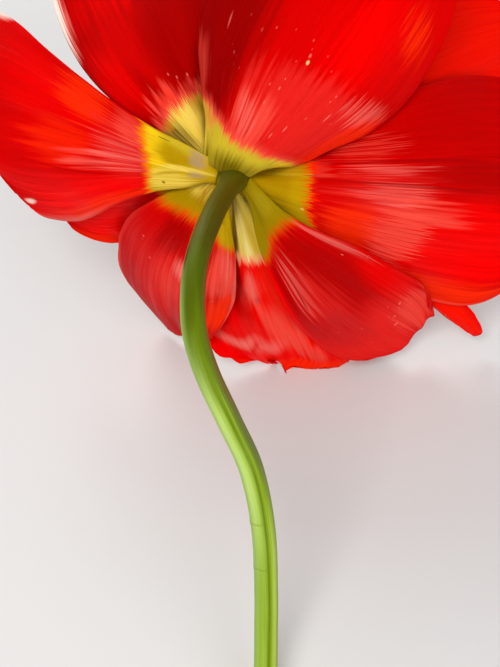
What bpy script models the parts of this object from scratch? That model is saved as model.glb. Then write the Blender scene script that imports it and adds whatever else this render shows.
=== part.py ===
# A cut, fully blown red tulip lying on a level surface. Millimetres here, metres in the meshes.
# The bloom looks away and down, so its back, where the stem joins, faces up and towards -Y.
import math
import bpy
import bmesh
import numpy as np
from mathutils import Vector
from mathutils.bvhtree import BVHTree

for old in list(bpy.data.objects):
    bpy.data.objects.remove(old, do_unlink=True)

MM = 0.001

RECEPTACLE_HEIGHT = 70.0     # height of the stem's top end above the surface
DIP = 30.0                   # the bloom's mouth points this many degrees below level
PETAL_THICK = 0.65
PETAL_GAP = 1.6              # least distance between two petals' middles
PETAL_ROWS = 16
PETAL_COLS = 14
MIDRIB_STEPS = 160

# how a petal is lifted clear of those outside it
PROBE_MARGIN = 0.3           # how much further than the gap the rays round a spot look
RAYS_FROM = 200.0            # further along the bloom's axis than any petal
STEEPEST = 0.35              # least share of a slope's facing that is allowed for
LIFT_ROUNDS = 3
SPREAD_ROUNDS = 80
SPREAD_KEPT = 0.98

STEM_RADIUS = 2.75
STEM_FACETS = 4              # bevel resolution, which gives the tube 12 sides
STEM_STEPS = 40              # evenly spaced points on the tube
EVEN_FROM = 10.5             # where they start, past the receptacle
ROUTE_STEPS = 400
LINE_STEPS = 24              # steps of a smooth line between two of its points
# the stem's middle line from the receptacle: right, forward, up
STEM_ROUTE = [
    (0.0, 0.0, 0.0),
    (-0.8, -8.5, 4.0),
    (-3.2, -18.8, 7.0),
    (-5.9, -31.0, 8.4),
    (-7.3, -41.5, 7.4),
    (-7.0, -51.5, 3.6),
    (-4.4, -58.5, -2.6),
    (0.4, -64.6, -12.0),
    (5.4, -70.8, -22.6),
    (8.0, -79.0, -34.6),
    (8.7, -87.5, -47.0),
    (8.7, -96.0, -57.4),
    (8.5, -106.5, -64.2),
    (8.3, -121.0, -66.9),
    (8.0, -150.0, -67.2),
    (7.4, -186.0, -67.2),
]
NEAR_STATIONS = [0.6, 1.6, 2.8, 4.2, 6.0, 8.0]   # points on the tube beside the receptacle
# the receptacle: distance ahead of the outer petals' roots on the bloom's axis, radius
RECEPTACLE = [(-9.0, 2.8), (-5.0, 3.1), (-2.6, 3.8), (-1.2, 4.5), (0.3, 4.5), (1.6, 4.25), (3.0, 4.15),
              (4.4, 3.7)]
INNER_FLOOR = 4.7            # where stamens and pistil start, just clear of the receptacle's end

# Petals from the outermost in. azimuth: degrees clockwise seen from behind, 0 right, 90 down.
# lean: the midrib's angle from the bloom's axis at equal steps from claw to tip.
# cup: radius of the bend across at claw, middle and tip. claw: width at the root as a share.
# wide_at, grow, square: where along it is widest, how fast it widens, how blunt its end is.
# sway: how far the midrib turns sideways. folds: place across, breadth, depth, where it starts.
# wave: height, count and phases of the margin's waves. curl: how far each margin rolls.
# skew: how much longer the clockwise side is. nicks: place, breadth and depth of dents in the end.
# slim: hollows in the margins: side (1 is the clockwise one), place along, breadth, depth.
OUTER = dict(root=(4.9, 0.0), red=(0.66, 0.03, 0.025))
INNER = dict(root=(4.65, 1.5), red=(0.60, 0.012, 0.012))
INNERMOST = dict(root=(4.6, 3.0), red=(0.64, 0.01, 0.01))
PETALS = [
    dict(OUTER, name="outer_petal_left", azimuth=195, sway=-7, length=76, width=57,
         lean=(88, 72, 62, 62), cup=(7, 32, 45), claw=0.2, wide_at=0.8, grow=2.35, square=2.3, skew=0.22,
         folds=[(0.05, 0.10, 1.2, 0.4), (-0.45, 0.16, -1.3, 0.6), (0.5, 0.18, -1.0, 0.6)],
         wave=(1.4, 1.6, 40, 200), curl=(1.5, -2.0), slim=[(1, 0.56, 0.18, 2.9)]),
    dict(OUTER, name="outer_petal_top", azimuth=299, sway=12, length=80, width=62,
         lean=(100, 84, 72, 66), cup=(7, 45, 60), claw=0.26, wide_at=0.47, grow=0.75, square=2.1,
         folds=[(0.0, 0.09, 1.1, 0.4), (-0.55, 0.14, 1.4, 0.7), (0.45, 0.16, -1.0, 0.6)],
         wave=(1.6, 1.5, 10, 120), curl=(0.0, 1.0), nicks=[(0.2, 0.12, 0.03)]),
    dict(OUTER, name="outer_petal_lower_right", azimuth=49, sway=-9, length=80.5, width=39.4,
         lean=(86, 70, 60, 57), cup=(7, 28, 45), claw=0.155, wide_at=0.76, grow=1.45, square=2.0,
         skew=-0.06, slim=[(-1, 0.75, 0.52, 4.8)],
         folds=[(0.0, 0.26, 2.2, 0.5)],
         wave=(1.3, 2.2, 70, 250), curl=(-1.5, -1.0), nicks=[(-0.53, 0.38, 0.07), (-1.0, 0.11, 0.07)]),
    dict(OUTER, name="outer_petal_lower_left", azimuth=130, sway=-42, length=69.5, width=38.5,
         lean=(84, 58, 40, 31), cup=(7, 30, 40), claw=0.2, wide_at=0.5, grow=0.9, square=2.2, skew=0.05,
         folds=[(0.0, 0.12, 1.0, 0.4)],
         wave=(1.2, 1.8, 0, 160), curl=(0.0, 0.0)),
    dict(INNER, name="inner_petal_upper_left", azimuth=245.5, length=84, width=54, lean=(88, 66, 55, 50),
         cup=(6, 45, 60), claw=0.16, wide_at=0.6, grow=1.0, square=2.1,
         folds=[(0.0, 0.1, 1.0, 0.4)],
         wave=(1.4, 1.7, 90, 0), curl=(-2.0, 0.0)),
    dict(INNER, name="inner_petal_right", azimuth=8.5, length=90, width=69, lean=(92, 76, 70, 70),
         cup=(6, 45, 60), claw=0.12, wide_at=0.76, grow=1.0, square=2.1,
         folds=[(0.0, 0.08, 1.0, 0.4), (-0.4, 0.14, -1.2, 0.6), (0.45, 0.16, 1.2, 0.6)],
         wave=(2.0, 1.6, 0, 90), curl=(0.0, 0.0), nicks=[(-0.3, 0.12, 0.03)]),
    dict(INNER, name="inner_petal_bottom", azimuth=69, length=74, width=56, lean=(88, 70, 56, 48),
         cup=(6, 45, 60), claw=0.16, wide_at=0.58, grow=1.0, square=2.5, skew=-0.1,
         folds=[(0.15, 0.14, 1.8, 0.6), (0.6, 0.14, -1.4, 0.6), (-0.3, 0.16, -1.2, 0.6)],
         wave=(1.2, 2.0, 60, 0), curl=(0.0, 0.0), nicks=[(0.42, 0.11, 0.07), (-0.5, 0.12, 0.03)]),
    dict(INNER, name="inner_petal_left", azimuth=173, length=60, width=40, lean=(88, 60, 46, 40),
         cup=(6, 45, 60), claw=0.2, wide_at=0.58, grow=1.0, square=2.1,
         folds=[(0.0, 0.12, 1.0, 0.4)],
         wave=(1.2, 1.6, 20, 0), curl=(0.0, 0.0)),
    dict(INNERMOST, name="innermost_petal_upper_right", azimuth=342, length=95, width=58,
         lean=(88, 66, 58, 56), cup=(5, 45, 60), claw=0.12, wide_at=0.58, grow=1.0, square=2.1,
         folds=[(0.0, 0.1, 1.0, 0.4)],
         wave=(1.5, 1.5, 30, 210), curl=(0.0, 0.0)),
    dict(INNERMOST, name="innermost_petal_lower_right", azimuth=29.2, sway=15, length=92.3, width=13.8,
         lean=(90, 74, 66, 62), cup=(5, 45, 60), claw=0.31, wide_at=0.4, grow=1.0, square=1.5, skew=-0.19,
         folds=[(0.0, 0.2, 1.0, 0.4)],
         wave=(0.8, 1.5, 0, 0), curl=(0.0, 0.0)),
]

STAMENS = 6
STAMEN_RING = 2.75           # radius of the ring they stand on
STAMEN_LEAN = 6.0
# distance up from the root, half width across the ring, half width outward
STAMEN_SHAPE = [(0.0, 0.62, 0.5), (3.0, 0.7, 0.5), (7.0, 0.55, 0.45), (11.0, 0.4, 0.35), (12.0, 0.45, 0.4),
                (12.8, 1.15, 0.9), (15.0, 1.5, 1.15), (20.0, 1.55, 1.2), (24.0, 1.3, 1.0), (26.4, 0.7, 0.6),
                (27.2, 0.25, 0.25)]
STAMEN_SIDES = 6
FIRST_STAMEN = 30.0          # where the first one stands, in degrees
# distance up from the root, radius, depth of the three lobes
PISTIL_SHAPE = [(0.0, 1.6, 0.0), (1.5, 2.0, 0.06), (4.0, 2.4, 0.10), (10.0, 2.4, 0.12), (15.0, 2.1, 0.12),
                (17.5, 1.7, 0.12), (18.6, 1.65, 0.16), (19.4, 2.3, 0.35), (20.4, 2.7, 0.42),
                (21.3, 2.5, 0.42), (21.8, 1.4, 0.40)]
PISTIL_SIDES = 18

STEM_GREEN = (0.22, 0.36, 0.05)
ANTHER_DARK = (0.03, 0.018, 0.03)
PISTIL_GREEN = (0.42, 0.48, 0.16)
PETAL_ROUGH = 0.45
GREEN_ROUGH = 0.5
POLLEN_ROUGH = 0.8


def material(name, colour, roughness):
    made = bpy.data.materials.new(name)
    made.use_nodes = True
    shader = made.node_tree.nodes["Principled BSDF"]
    shader.inputs["Base Color"].default_value = (*colour, 1.0)
    shader.inputs["Roughness"].default_value = roughness
    shader.inputs["Metallic"].default_value = 0.0
    return made


def ease(x):
    x = np.clip(x, 0.0, 1.0)
    return x * x * (3.0 - 2.0 * x)


def spline(points, steps):
    """a smooth line through the points, evenly stepped along its length"""
    pts = np.array(points, float)
    pts = np.vstack([2 * pts[0] - pts[1], pts, 2 * pts[-1] - pts[-2]])
    fine = []
    for i in range(1, len(pts) - 2):
        a, b, c, d = pts[i - 1:i + 3]
        for t in np.linspace(0.0, 1.0, LINE_STEPS, endpoint=False):
            fine.append(0.5 * (2 * b + (c - a) * t + (2 * a - 5 * b + 4 * c - d) * t ** 2
                               + (3 * b - a - 3 * c + d) * t ** 3))
    fine.append(pts[-2])
    fine = np.array(fine)
    run = np.concatenate([[0.0], np.cumsum(np.linalg.norm(np.diff(fine, axis=0), axis=1))])
    even = np.linspace(0.0, run[-1], steps + 1)
    return np.stack([np.interp(even, run, fine[:, k]) for k in range(3)], axis=1)


def to_flower(point):
    """from right, forward, up about the receptacle to the bloom's own axes"""
    c = math.cos(math.radians(90.0 + DIP))
    s = math.sin(math.radians(90.0 + DIP))
    x, y, z = point
    return np.array([x, c * y - s * z, s * y + c * z])


def height(points):
    """height above the surface of points given in the bloom's axes"""
    s = math.sin(math.radians(90.0 + DIP))
    c = math.cos(math.radians(90.0 + DIP))
    return RECEPTACLE_HEIGHT - s * points[..., 1] + c * points[..., 2]


def midrib(p):
    """the petal's middle line, with the directions across it and out of its back"""
    u = np.linspace(0.0, 1.0, MIDRIB_STEPS + 1)
    lean_fit = np.polyfit(np.linspace(0.0, 1.0, len(p["lean"])), p["lean"], len(p["lean"]) - 1)
    lean = np.radians(np.polyval(lean_fit, u))
    around = math.radians(p["azimuth"])
    out = np.array([math.cos(around), math.sin(around), 0.0])
    side = np.array([-math.sin(around), math.cos(around), 0.0])
    axis = np.array([0.0, 0.0, 1.0])
    turn = np.radians(p.get("sway", 0.0) * u)[:, None]
    along = np.outer(np.sin(lean), out) + np.outer(np.cos(lean), axis)
    back = np.outer(np.cos(lean), out) - np.outer(np.sin(lean), axis)
    across = -np.sin(turn) * along + np.cos(turn) * side
    along = np.cos(turn) * along + np.sin(turn) * side
    step = p["length"] / MIDRIB_STEPS
    line = np.vstack([np.zeros(3), np.cumsum((along[1:] + along[:-1]) * 0.5 * step, axis=0)])
    root_radius, root_ahead = p["root"]
    return u, line + out * root_radius + axis * root_ahead, across, back


def half_width(p, s):
    """half the petal's width at a share of its length"""
    widest = p["wide_at"]
    grown = p["claw"] + (1.0 - p["claw"]) * np.sin(0.5 * np.pi * np.clip(s / widest, 0, 1)) ** p["grow"]
    past = np.clip((s - widest) / (1.0 - widest), 0.0, 1.0)
    rounded = (1.0 - past ** p["square"]) ** (1.0 / p["square"])
    return 0.5 * p["width"] * np.where(s < widest, grown, rounded)


def petal_points(p, rows, cols):
    """the petal's middle surface as a grid, claw to tip by margin to margin"""
    u, v = np.meshgrid(np.linspace(0, 1, rows + 1), np.linspace(-1, 1, cols + 1), indexing="ij")
    steps, line, across, back = midrib(p)
    widest = p["wide_at"]
    square = p["square"]
    shoulder = widest + (1.0 - widest) * 0.5 ** (1.0 / square)
    top = widest + (1.0 - widest) * (1.0 - np.abs(v) ** square / 2.0) ** (1.0 / square)
    top = top * (1.0 + p.get("skew", 0.0) * v)
    for place, breadth, depth in p.get("nicks", []):
        top = top - depth * np.exp(-((v - place) / breadth) ** 2)
    s = u * top
    q = v * half_width(p, u * shoulder)
    for side, place, breadth, depth in p.get("slim", []):
        q = q - side * depth * np.exp(-((u - place) / breadth) ** 2) * np.clip(side * v, 0, 1) ** 2
    claw_bend, mid_bend, tip_bend = (1.0 / r for r in p["cup"])
    near_claw = np.exp(-s / 0.10)
    bend = claw_bend * near_claw + (mid_bend + (tip_bend - mid_bend) * ease(s)) * (1.0 - near_claw)
    sideways = np.sin(bend * q) / bend
    inward = (1.0 - np.cos(bend * q)) / bend
    wave_height, count, left_phase, right_phase = p["wave"]
    phase = np.radians(np.where(v > 0, right_phase, left_phase))
    inward = inward + wave_height * np.abs(v) ** 1.5 * ease(u / 0.5) * np.sin(2 * np.pi * count * u + phase)
    for sign, roll in zip((-1, 1), p["curl"]):
        inward = inward + roll * np.clip((v * sign - 0.45) / 0.55, 0, 1) ** 2 * ease(u / 0.4)
    for place, breadth, depth, start in p["folds"]:
        inward = inward + depth * np.exp(-((v - place) / breadth) ** 2) * ease(u / start)

    def at(table):
        return np.stack([np.interp(s, steps, table[:, k]) for k in range(3)], axis=-1)

    return at(line) + sideways[..., None] * at(across) - inward[..., None] * at(back)


def spread(field):
    """each value's mean with its neighbours in the grid"""
    padded = np.pad(field, 1, mode="edge")
    return 0.25 * (padded[:-2, 1:-1] + padded[2:, 1:-1] + padded[1:-1, :-2] + padded[1:-1, 2:])


def facing(points):
    """how squarely each spot of a petal faces along the bloom's axis"""
    normals = np.cross(np.gradient(points, axis=0), np.gradient(points, axis=1))
    return np.clip(np.abs(normals[..., 2]) / np.linalg.norm(normals, axis=-1), STEEPEST, 1.0)


def raised_clear(points, trees):
    """lift a petal along the bloom's axis until it clears the petals outside it"""
    reach = PETAL_GAP + PROBE_MARGIN
    probes = [(0.0, 0.0)] + [(reach * math.cos(a), reach * math.sin(a)) for a in np.arange(8) * math.pi / 4]
    down = Vector((0, 0, -1))
    raised = points.copy()
    for _ in range(LIFT_ROUNDS):
        squareness = facing(raised)
        need = np.zeros(points.shape[:2])
        for i, j in np.ndindex(need.shape):
            x, y, z = points[i, j]
            for tree in trees:
                for dx, dy in probes:
                    hit, normal, _, _ = tree.ray_cast(Vector((x + dx, y + dy, RAYS_FROM)), down)
                    if hit is not None:
                        step = PETAL_GAP / min(squareness[i, j], max(abs(normal.z), STEEPEST))
                        need[i, j] = max(need[i, j], hit.z + step - z)
        lift = need.copy()
        for _ in range(SPREAD_ROUNDS):
            lift = np.maximum(need, SPREAD_KEPT * spread(lift))
            lift[0] = need[0]
        raised[..., 2] = points[..., 2] + lift
    return raised


def kept_off_surface(points):
    """a petal that reaches the surface lies flat on it there"""
    low = np.maximum(0.5 * PETAL_THICK - height(points), 0.0)
    up = to_flower((0.0, 0.0, 1.0))
    return points + low[..., None] * up


def placed(name, data, mat):
    """an object in the bloom's own axes"""
    data.materials.append(mat)
    made = bpy.data.objects.new(name, data)
    bpy.context.scene.collection.objects.link(made)
    made.parent = bloom
    return made


def petal_object(name, points, mat):
    """a grid moved to the petal's middle surface, split into triangles, then thickened"""
    rows, cols = points.shape[0] - 1, points.shape[1] - 1
    bm = bmesh.new()
    bmesh.ops.create_grid(bm, x_segments=rows, y_segments=cols, size=1.0)
    for vert in bm.verts:
        i = round((vert.co.x + 1.0) / 2.0 * rows)
        j = round((vert.co.y + 1.0) / 2.0 * cols)
        vert.co = Vector(points[i, j]) * MM
    bmesh.ops.triangulate(bm, faces=bm.faces[:])
    tree = BVHTree.FromPolygons([v.co / MM for v in bm.verts], [[v.index for v in f.verts] for f in bm.faces])
    mesh = bpy.data.meshes.new(name)
    bm.to_mesh(mesh)
    bm.free()
    mesh.shade_smooth()
    petal = placed(name, mesh, mat)
    body = petal.modifiers.new("thickness", "SOLIDIFY")
    body.thickness = PETAL_THICK * MM
    body.offset = 0.0
    return tree


def ring_body(name, rings, mat):
    """a closed body through rings of equally many points, flat at both ends"""
    sides = len(rings[0])
    verts = np.concatenate(rings) * MM
    faces = []
    for k in range(len(rings) - 1):
        for i in range(sides):
            a, b = k * sides + i, k * sides + (i + 1) % sides
            faces.append((a, b, b + sides, a + sides))
    faces.append(tuple(range(sides - 1, -1, -1)))
    faces.append(tuple(range((len(rings) - 1) * sides, len(rings) * sides)))
    mesh = bpy.data.meshes.new(name)
    mesh.from_pydata([tuple(v) for v in verts], [], faces)
    mesh.shade_smooth()
    placed(name, mesh, mat)


def build_petals():
    trees = []
    for p in PETALS:
        points = petal_points(p, 2 * PETAL_ROWS, 2 * PETAL_COLS)
        points = kept_off_surface(raised_clear(points, trees))[::2, ::2]
        print(p["name"], "lowest %.2f mm" % height(points).min())
        trees.append(petal_object(p["name"], points, material(p["name"], p["red"], PETAL_ROUGH)))


def build_stem():
    """one tube from the receptacle's end, down the axis and along the route to the cut"""
    route = spline([to_flower(point) for point in STEM_ROUTE], ROUTE_STEPS)
    run = np.concatenate([[0.0], np.cumsum(np.linalg.norm(np.diff(route, axis=0), axis=1))])
    behind = np.concatenate([NEAR_STATIONS, np.linspace(EVEN_FROM, run[-1], STEM_STEPS)])
    line = [(0.0, 0.0, ahead) for ahead, _ in RECEPTACLE[::-1] if ahead > 0]
    places = [point[2] for point in line] + list(-behind)
    line += [tuple(np.interp(d, run, route[:, k]) for k in range(3)) for d in behind]
    outline = np.array(RECEPTACLE)
    curve = bpy.data.curves.new("stem", "CURVE")
    curve.dimensions = "3D"
    curve.bevel_depth = STEM_RADIUS * MM
    curve.bevel_resolution = STEM_FACETS
    curve.use_fill_caps = True
    tube = curve.splines.new("POLY")
    tube.points.add(len(line) - 1)
    for point, co, place in zip(tube.points, line, places):
        point.co = (co[0] * MM, co[1] * MM, co[2] * MM, 1.0)
        point.radius = np.interp(place, outline[:, 0], outline[:, 1]) / STEM_RADIUS
    placed("stem", curve, material("stem", STEM_GREEN, GREEN_ROUGH))


def build_stamens():
    """six in a ring round the pistil, each a filament that carries its anther"""
    lean = math.radians(STAMEN_LEAN)
    turns = 2 * np.pi * np.arange(STAMEN_SIDES) / STAMEN_SIDES
    up = np.array([0.0, 0.0, 1.0])
    for k in range(STAMENS):
        around = math.radians(FIRST_STAMEN + 360.0 * k / STAMENS)
        out = np.array([math.cos(around), math.sin(around), 0.0])
        side = np.array([-math.sin(around), math.cos(around), 0.0])
        along = out * math.sin(lean) + up * math.cos(lean)
        rings = []
        for distance, across, outward in STAMEN_SHAPE:
            centre = out * STAMEN_RING + up * INNER_FLOOR + along * distance
            ring = outward * np.outer(np.cos(turns), out) + across * np.outer(np.sin(turns), side)
            rings.append(centre + ring)
        name = "stamen_%d" % (k + 1)
        ring_body(name, rings, material(name, ANTHER_DARK, POLLEN_ROUGH))


def build_pistil():
    """a three-sided ovary with a three-lobed stigma"""
    turns = 2 * np.pi * np.arange(PISTIL_SIDES) / PISTIL_SIDES
    rings = []
    for distance, radius, lobes in PISTIL_SHAPE:
        reach = radius * (1.0 + lobes * np.cos(3 * turns))
        level = np.full(PISTIL_SIDES, INNER_FLOOR + distance)
        rings.append(np.stack([reach * np.cos(turns), reach * np.sin(turns), level], axis=1))
    ring_body("pistil", rings, material("pistil", PISTIL_GREEN, GREEN_ROUGH))


def centre_over_origin():
    """stand the part on the surface with its box centred over the origin"""
    bpy.context.view_layer.update()
    graph = bpy.context.evaluated_depsgraph_get()
    corners = []
    for made in bloom.children:
        shown = made.evaluated_get(graph)
        corners += [shown.matrix_world @ v.co for v in shown.to_mesh().vertices]
    corners = np.array(corners)
    low, high = corners.min(axis=0), corners.max(axis=0)
    print("box mm", np.round(low / MM, 2), np.round(high / MM, 2))
    root.location = (-0.5 * (low[0] + high[0]), -0.5 * (low[1] + high[1]), -low[2])


root = bpy.data.objects.new("root", None)
bloom = bpy.data.objects.new("bloom", None)
for empty in (root, bloom):
    bpy.context.scene.collection.objects.link(empty)
bloom.parent = root
bloom.location = (0.0, 0.0, RECEPTACLE_HEIGHT * MM)
bloom.rotation_euler = (-math.radians(90.0 + DIP), 0.0, 0.0)

build_petals()
build_stem()
build_stamens()
build_pistil()
centre_over_origin()
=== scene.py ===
import math
import bpy
import bmesh
import numpy as np
from mathutils import Matrix, Vector
from mathutils.bvhtree import BVHTree


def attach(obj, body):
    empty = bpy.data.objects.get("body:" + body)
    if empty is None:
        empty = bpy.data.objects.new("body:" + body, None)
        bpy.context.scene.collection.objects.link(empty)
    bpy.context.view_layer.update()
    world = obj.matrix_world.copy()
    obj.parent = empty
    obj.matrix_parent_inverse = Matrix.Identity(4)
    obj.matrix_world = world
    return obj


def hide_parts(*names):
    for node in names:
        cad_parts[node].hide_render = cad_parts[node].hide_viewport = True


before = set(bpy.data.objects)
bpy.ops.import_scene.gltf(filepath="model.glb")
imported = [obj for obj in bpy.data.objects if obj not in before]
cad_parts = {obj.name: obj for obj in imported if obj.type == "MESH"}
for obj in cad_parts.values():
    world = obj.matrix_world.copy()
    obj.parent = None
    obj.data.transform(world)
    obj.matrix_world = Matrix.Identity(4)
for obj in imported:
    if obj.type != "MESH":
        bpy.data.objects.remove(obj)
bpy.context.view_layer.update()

# A cut tulip lying down, seen from behind and above. Shapes are in mm in the bloom's own axes:
# x right, z out of its mouth. Meshes are in metres in the frame of the CAD.
bloom = {
    "place": (-0.008549, 0.057804, 0.07002),   # the receptacle, in metres
    "dip": 30.0,             # degrees that the mouth points below level
    "formRows": 16,          # the petals' coarse form, as the solids have it
    "formCols": 14,
    "petalGap": 1.6,
    "petalThick": 0.65,      # as solid, for the clearance only
    "feltPast": 0.3,         # how far past the gap a neighbour is felt
    "mostSlanted": 0.35,     # the least that a slanted spot counts as facing the mouth
    "liftPasses": 3,
    "liftSpreads": 80,       # how often a lift is shared with its neighbours
    "liftKept": 0.98,        # how much of it stays each time
    "shapeSeeds": (100, 10),     # of the first petal, and the step to the next
    "colourSeeds": 7.0,          # the same step for its colours
}


def bloomTilt():
    # how far the bloom's axis is turned over from upright
    return math.radians(90.0 + bloom["dip"])


def bloomMatrix():
    turn = Matrix.Rotation(-bloomTilt(), 4, "X")
    return Matrix.Translation(bloom["place"]) @ turn @ Matrix.Scale(0.001, 4)


def toBloom(point):
    # from right, forward, up about the receptacle to the bloom's axes, all in mm
    c, s = math.cos(bloomTilt()), math.sin(bloomTilt())
    x, y, z = point
    return np.array([x, c * y - s * z, s * y + c * z])


def heightOf(points):
    # height above the surface, in mm
    c, s = math.cos(bloomTilt()), math.sin(bloomTilt())
    return 1000.0 * bloom["place"][2] - s * points[..., 1] + c * points[..., 2]


def ease(x):
    x = np.clip(x, 0.0, 1.0)
    return x * x * (3.0 - 2.0 * x)


def hump(x, place, breadth):
    # 1 at the place, fading away on both sides
    return np.exp(-((x - place) / breadth) ** 2)


def outAndSide(degrees):
    # the directions out from the bloom's axis and round it
    c, s = math.cos(math.radians(degrees)), math.sin(math.radians(degrees))
    return np.array([c, s, 0.0]), np.array([-s, c, 0.0])


def newPiece(name, bm, materials):
    # a smooth-shaded object at the origin, from a finished bmesh
    mesh = bpy.data.meshes.new(name)
    bm.to_mesh(mesh)
    bm.free()
    mesh.shade_smooth()
    for made in materials:
        mesh.materials.append(made)
    piece = bpy.data.objects.new(name, mesh)
    bpy.context.scene.collection.objects.link(piece)
    return piece


# Each petal's form, the same as the solid's: lengths in mm, angles in degrees, places and breadths as
# shares, across from -1 to 1 and along from 0 to 1. folds: across, breadth, depth, where along it is
# full. nicks in the tip: across, breadth, depth. slim, hollows in the margins: side, along, breadth,
# depth. wave: height, number, phases of both sides. hem and lobes shape the finer skin alone: lobes
# shift its end by across, breadth, further on, raised.
outerRow = {"root": (4.9, 0.0)}
innerRow = {"root": (4.65, 1.5), "cup": (6, 45, 60), "grow": 1.0, "square": 2.1, "curl": (0.0, 0.0),
            "folds": [(0.0, 0.1, 1.0, 0.4)]}
innermostRow = dict(innerRow, root=(4.6, 3.0), cup=(5, 45, 60))
petals = [
    dict(outerRow, name="outer_petal_left", azimuth=195, sway=-7, length=76, width=57,
         lean=(88, 72, 62, 62), cup=(7, 32, 45), claw=0.2, wideAt=0.8, grow=2.35, square=2.3, skew=0.22,
         folds=[(0.05, 0.10, 1.2, 0.4), (-0.45, 0.16, -1.3, 0.6), (0.5, 0.18, -1.0, 0.6)],
         wave=(1.4, 1.6, 40, 200), curl=(1.5, -2.0), slim=[(1, 0.56, 0.18, 2.9)],
         hem={"in": (0.0, 0.4, 0.0), "back": 0.6, "slide": -0.3, "trim": (0.62, 0.25), "reach": 0.075}),
    dict(outerRow, name="outer_petal_top", azimuth=299, sway=12, length=80, width=62,
         lean=(100, 84, 72, 66), cup=(7, 45, 60), claw=0.26, wideAt=0.47, grow=0.75, square=2.1,
         folds=[(0.0, 0.09, 1.1, 0.4), (-0.55, 0.14, 1.4, 0.7), (0.45, 0.16, -1.0, 0.6)],
         wave=(1.6, 1.5, 10, 120), curl=(0.0, 1.0), nicks=[(0.2, 0.12, 0.03)],
         hem={"in": (3.0, 2.0, 0.6), "back": 2.4, "slide": -0.6, "trim": (-0.1, 0.2), "reach": 0.075,
              "pull": (2.0, 3.4, 0.11, 0.07)}),
    dict(outerRow, name="outer_petal_lower_right", azimuth=49, sway=-9, length=80.5, width=39.4,
         lean=(86, 70, 60, 57), cup=(7, 28, 45), claw=0.155, wideAt=0.76, grow=1.45, square=2.0,
         skew=-0.06, slim=[(-1, 0.75, 0.52, 4.8)],
         folds=[(0.0, 0.26, 2.2, 0.5)],
         wave=(1.3, 2.2, 70, 250), curl=(-1.5, -1.0), nicks=[(-0.53, 0.38, 0.07), (-1.0, 0.11, 0.07)],
         hem={"in": (0.4, 0.4, 0.0), "back": 1.0, "slide": -2.0, "trim": (0.1, 0.5), "reach": 0.12}),
    dict(outerRow, name="outer_petal_lower_left", azimuth=130, sway=-42, length=69.5, width=38.5,
         lean=(84, 58, 40, 31), cup=(7, 30, 40), claw=0.2, wideAt=0.5, grow=0.9, square=2.2, skew=0.05,
         folds=[(0.0, 0.12, 1.0, 0.4)],
         wave=(1.2, 1.8, 0, 160), curl=(0.0, 0.0),
         hem={"back": 0.8, "slide": 1.0, "reach": 0.09}),
    dict(innerRow, name="inner_petal_upper_left", azimuth=245.5, length=84, width=54,
         lean=(88, 66, 55, 50), claw=0.16, wideAt=0.6, wave=(1.4, 1.7, 90, 0), curl=(-2.0, 0.0)),
    dict(innerRow, name="inner_petal_right", azimuth=8.5, length=90, width=69, lean=(92, 76, 70, 70),
         claw=0.12, wideAt=0.76, wave=(2.0, 1.6, 0, 90), nicks=[(-0.3, 0.12, 0.03)],
         folds=[(0.0, 0.08, 1.0, 0.4), (-0.4, 0.14, -1.2, 0.6), (0.45, 0.16, 1.2, 0.6)]),
    dict(innerRow, name="inner_petal_bottom", azimuth=69, length=74, width=56, lean=(88, 70, 56, 48),
         claw=0.16, wideAt=0.58, square=2.5, skew=-0.1, wave=(1.2, 2.0, 60, 0),
         folds=[(0.15, 0.14, 1.8, 0.6), (0.6, 0.14, -1.4, 0.6), (-0.3, 0.16, -1.2, 0.6)],
         nicks=[(0.42, 0.11, 0.07), (-0.5, 0.12, 0.03)],
         lobes=[(0.66, 0.29, 4.0, 4.4), (0.25, 0.59, -3.8, 0.7), (0.42, 0.12, 1.6, 0.0),
                (-0.3, 0.52, 0.2, -1.2)]),
    dict(innerRow, name="inner_petal_left", azimuth=173, length=60, width=40, lean=(88, 60, 46, 40),
         claw=0.2, wideAt=0.58, wave=(1.2, 1.6, 20, 0), folds=[(0.0, 0.12, 1.0, 0.4)]),
    dict(innermostRow, name="innermost_petal_upper_right", azimuth=342, length=95, width=58,
         lean=(88, 66, 58, 56), claw=0.12, wideAt=0.58, wave=(1.5, 1.5, 30, 210)),
    dict(innermostRow, name="innermost_petal_lower_right", azimuth=29.2, sway=15, length=92.3, width=13.8,
         lean=(90, 74, 66, 62), claw=0.31, wideAt=0.4, square=1.5, skew=-0.19, wave=(0.8, 1.5, 0, 0),
         folds=[(0.0, 0.2, 1.0, 0.4)]),
]


def midrib(p, steps=160):
    # the petal's middle line, with the directions across it and out of its back
    u = np.linspace(0.0, 1.0, steps + 1)
    fit = np.polyfit(np.linspace(0.0, 1.0, len(p["lean"])), p["lean"], len(p["lean"]) - 1)
    lean = np.radians(np.polyval(fit, u))
    out, side = outAndSide(p["azimuth"])
    axis = np.array([0.0, 0.0, 1.0])
    turn = np.radians(p.get("sway", 0.0) * u)[:, None]
    along = np.outer(np.sin(lean), out) + np.outer(np.cos(lean), axis)
    back = np.outer(np.cos(lean), out) - np.outer(np.sin(lean), axis)
    across = -np.sin(turn) * along + np.cos(turn) * side
    along = np.cos(turn) * along + np.sin(turn) * side
    step = p["length"] / steps
    line = np.vstack([np.zeros(3), np.cumsum((along[1:] + along[:-1]) * 0.5 * step, axis=0)])
    rootRadius, rootAhead = p["root"]
    return u, line + out * rootRadius + axis * rootAhead, across, back


def halfWidth(p, s):
    widest = p["wideAt"]
    grown = p["claw"] + (1.0 - p["claw"]) * np.sin(0.5 * np.pi * np.clip(s / widest, 0, 1)) ** p["grow"]
    past = np.clip((s - widest) / (1.0 - widest), 0.0, 1.0)
    rounded = (1.0 - past ** p["square"]) ** (1.0 / p["square"])
    return 0.5 * p["width"] * np.where(s < widest, grown, rounded)


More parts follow.
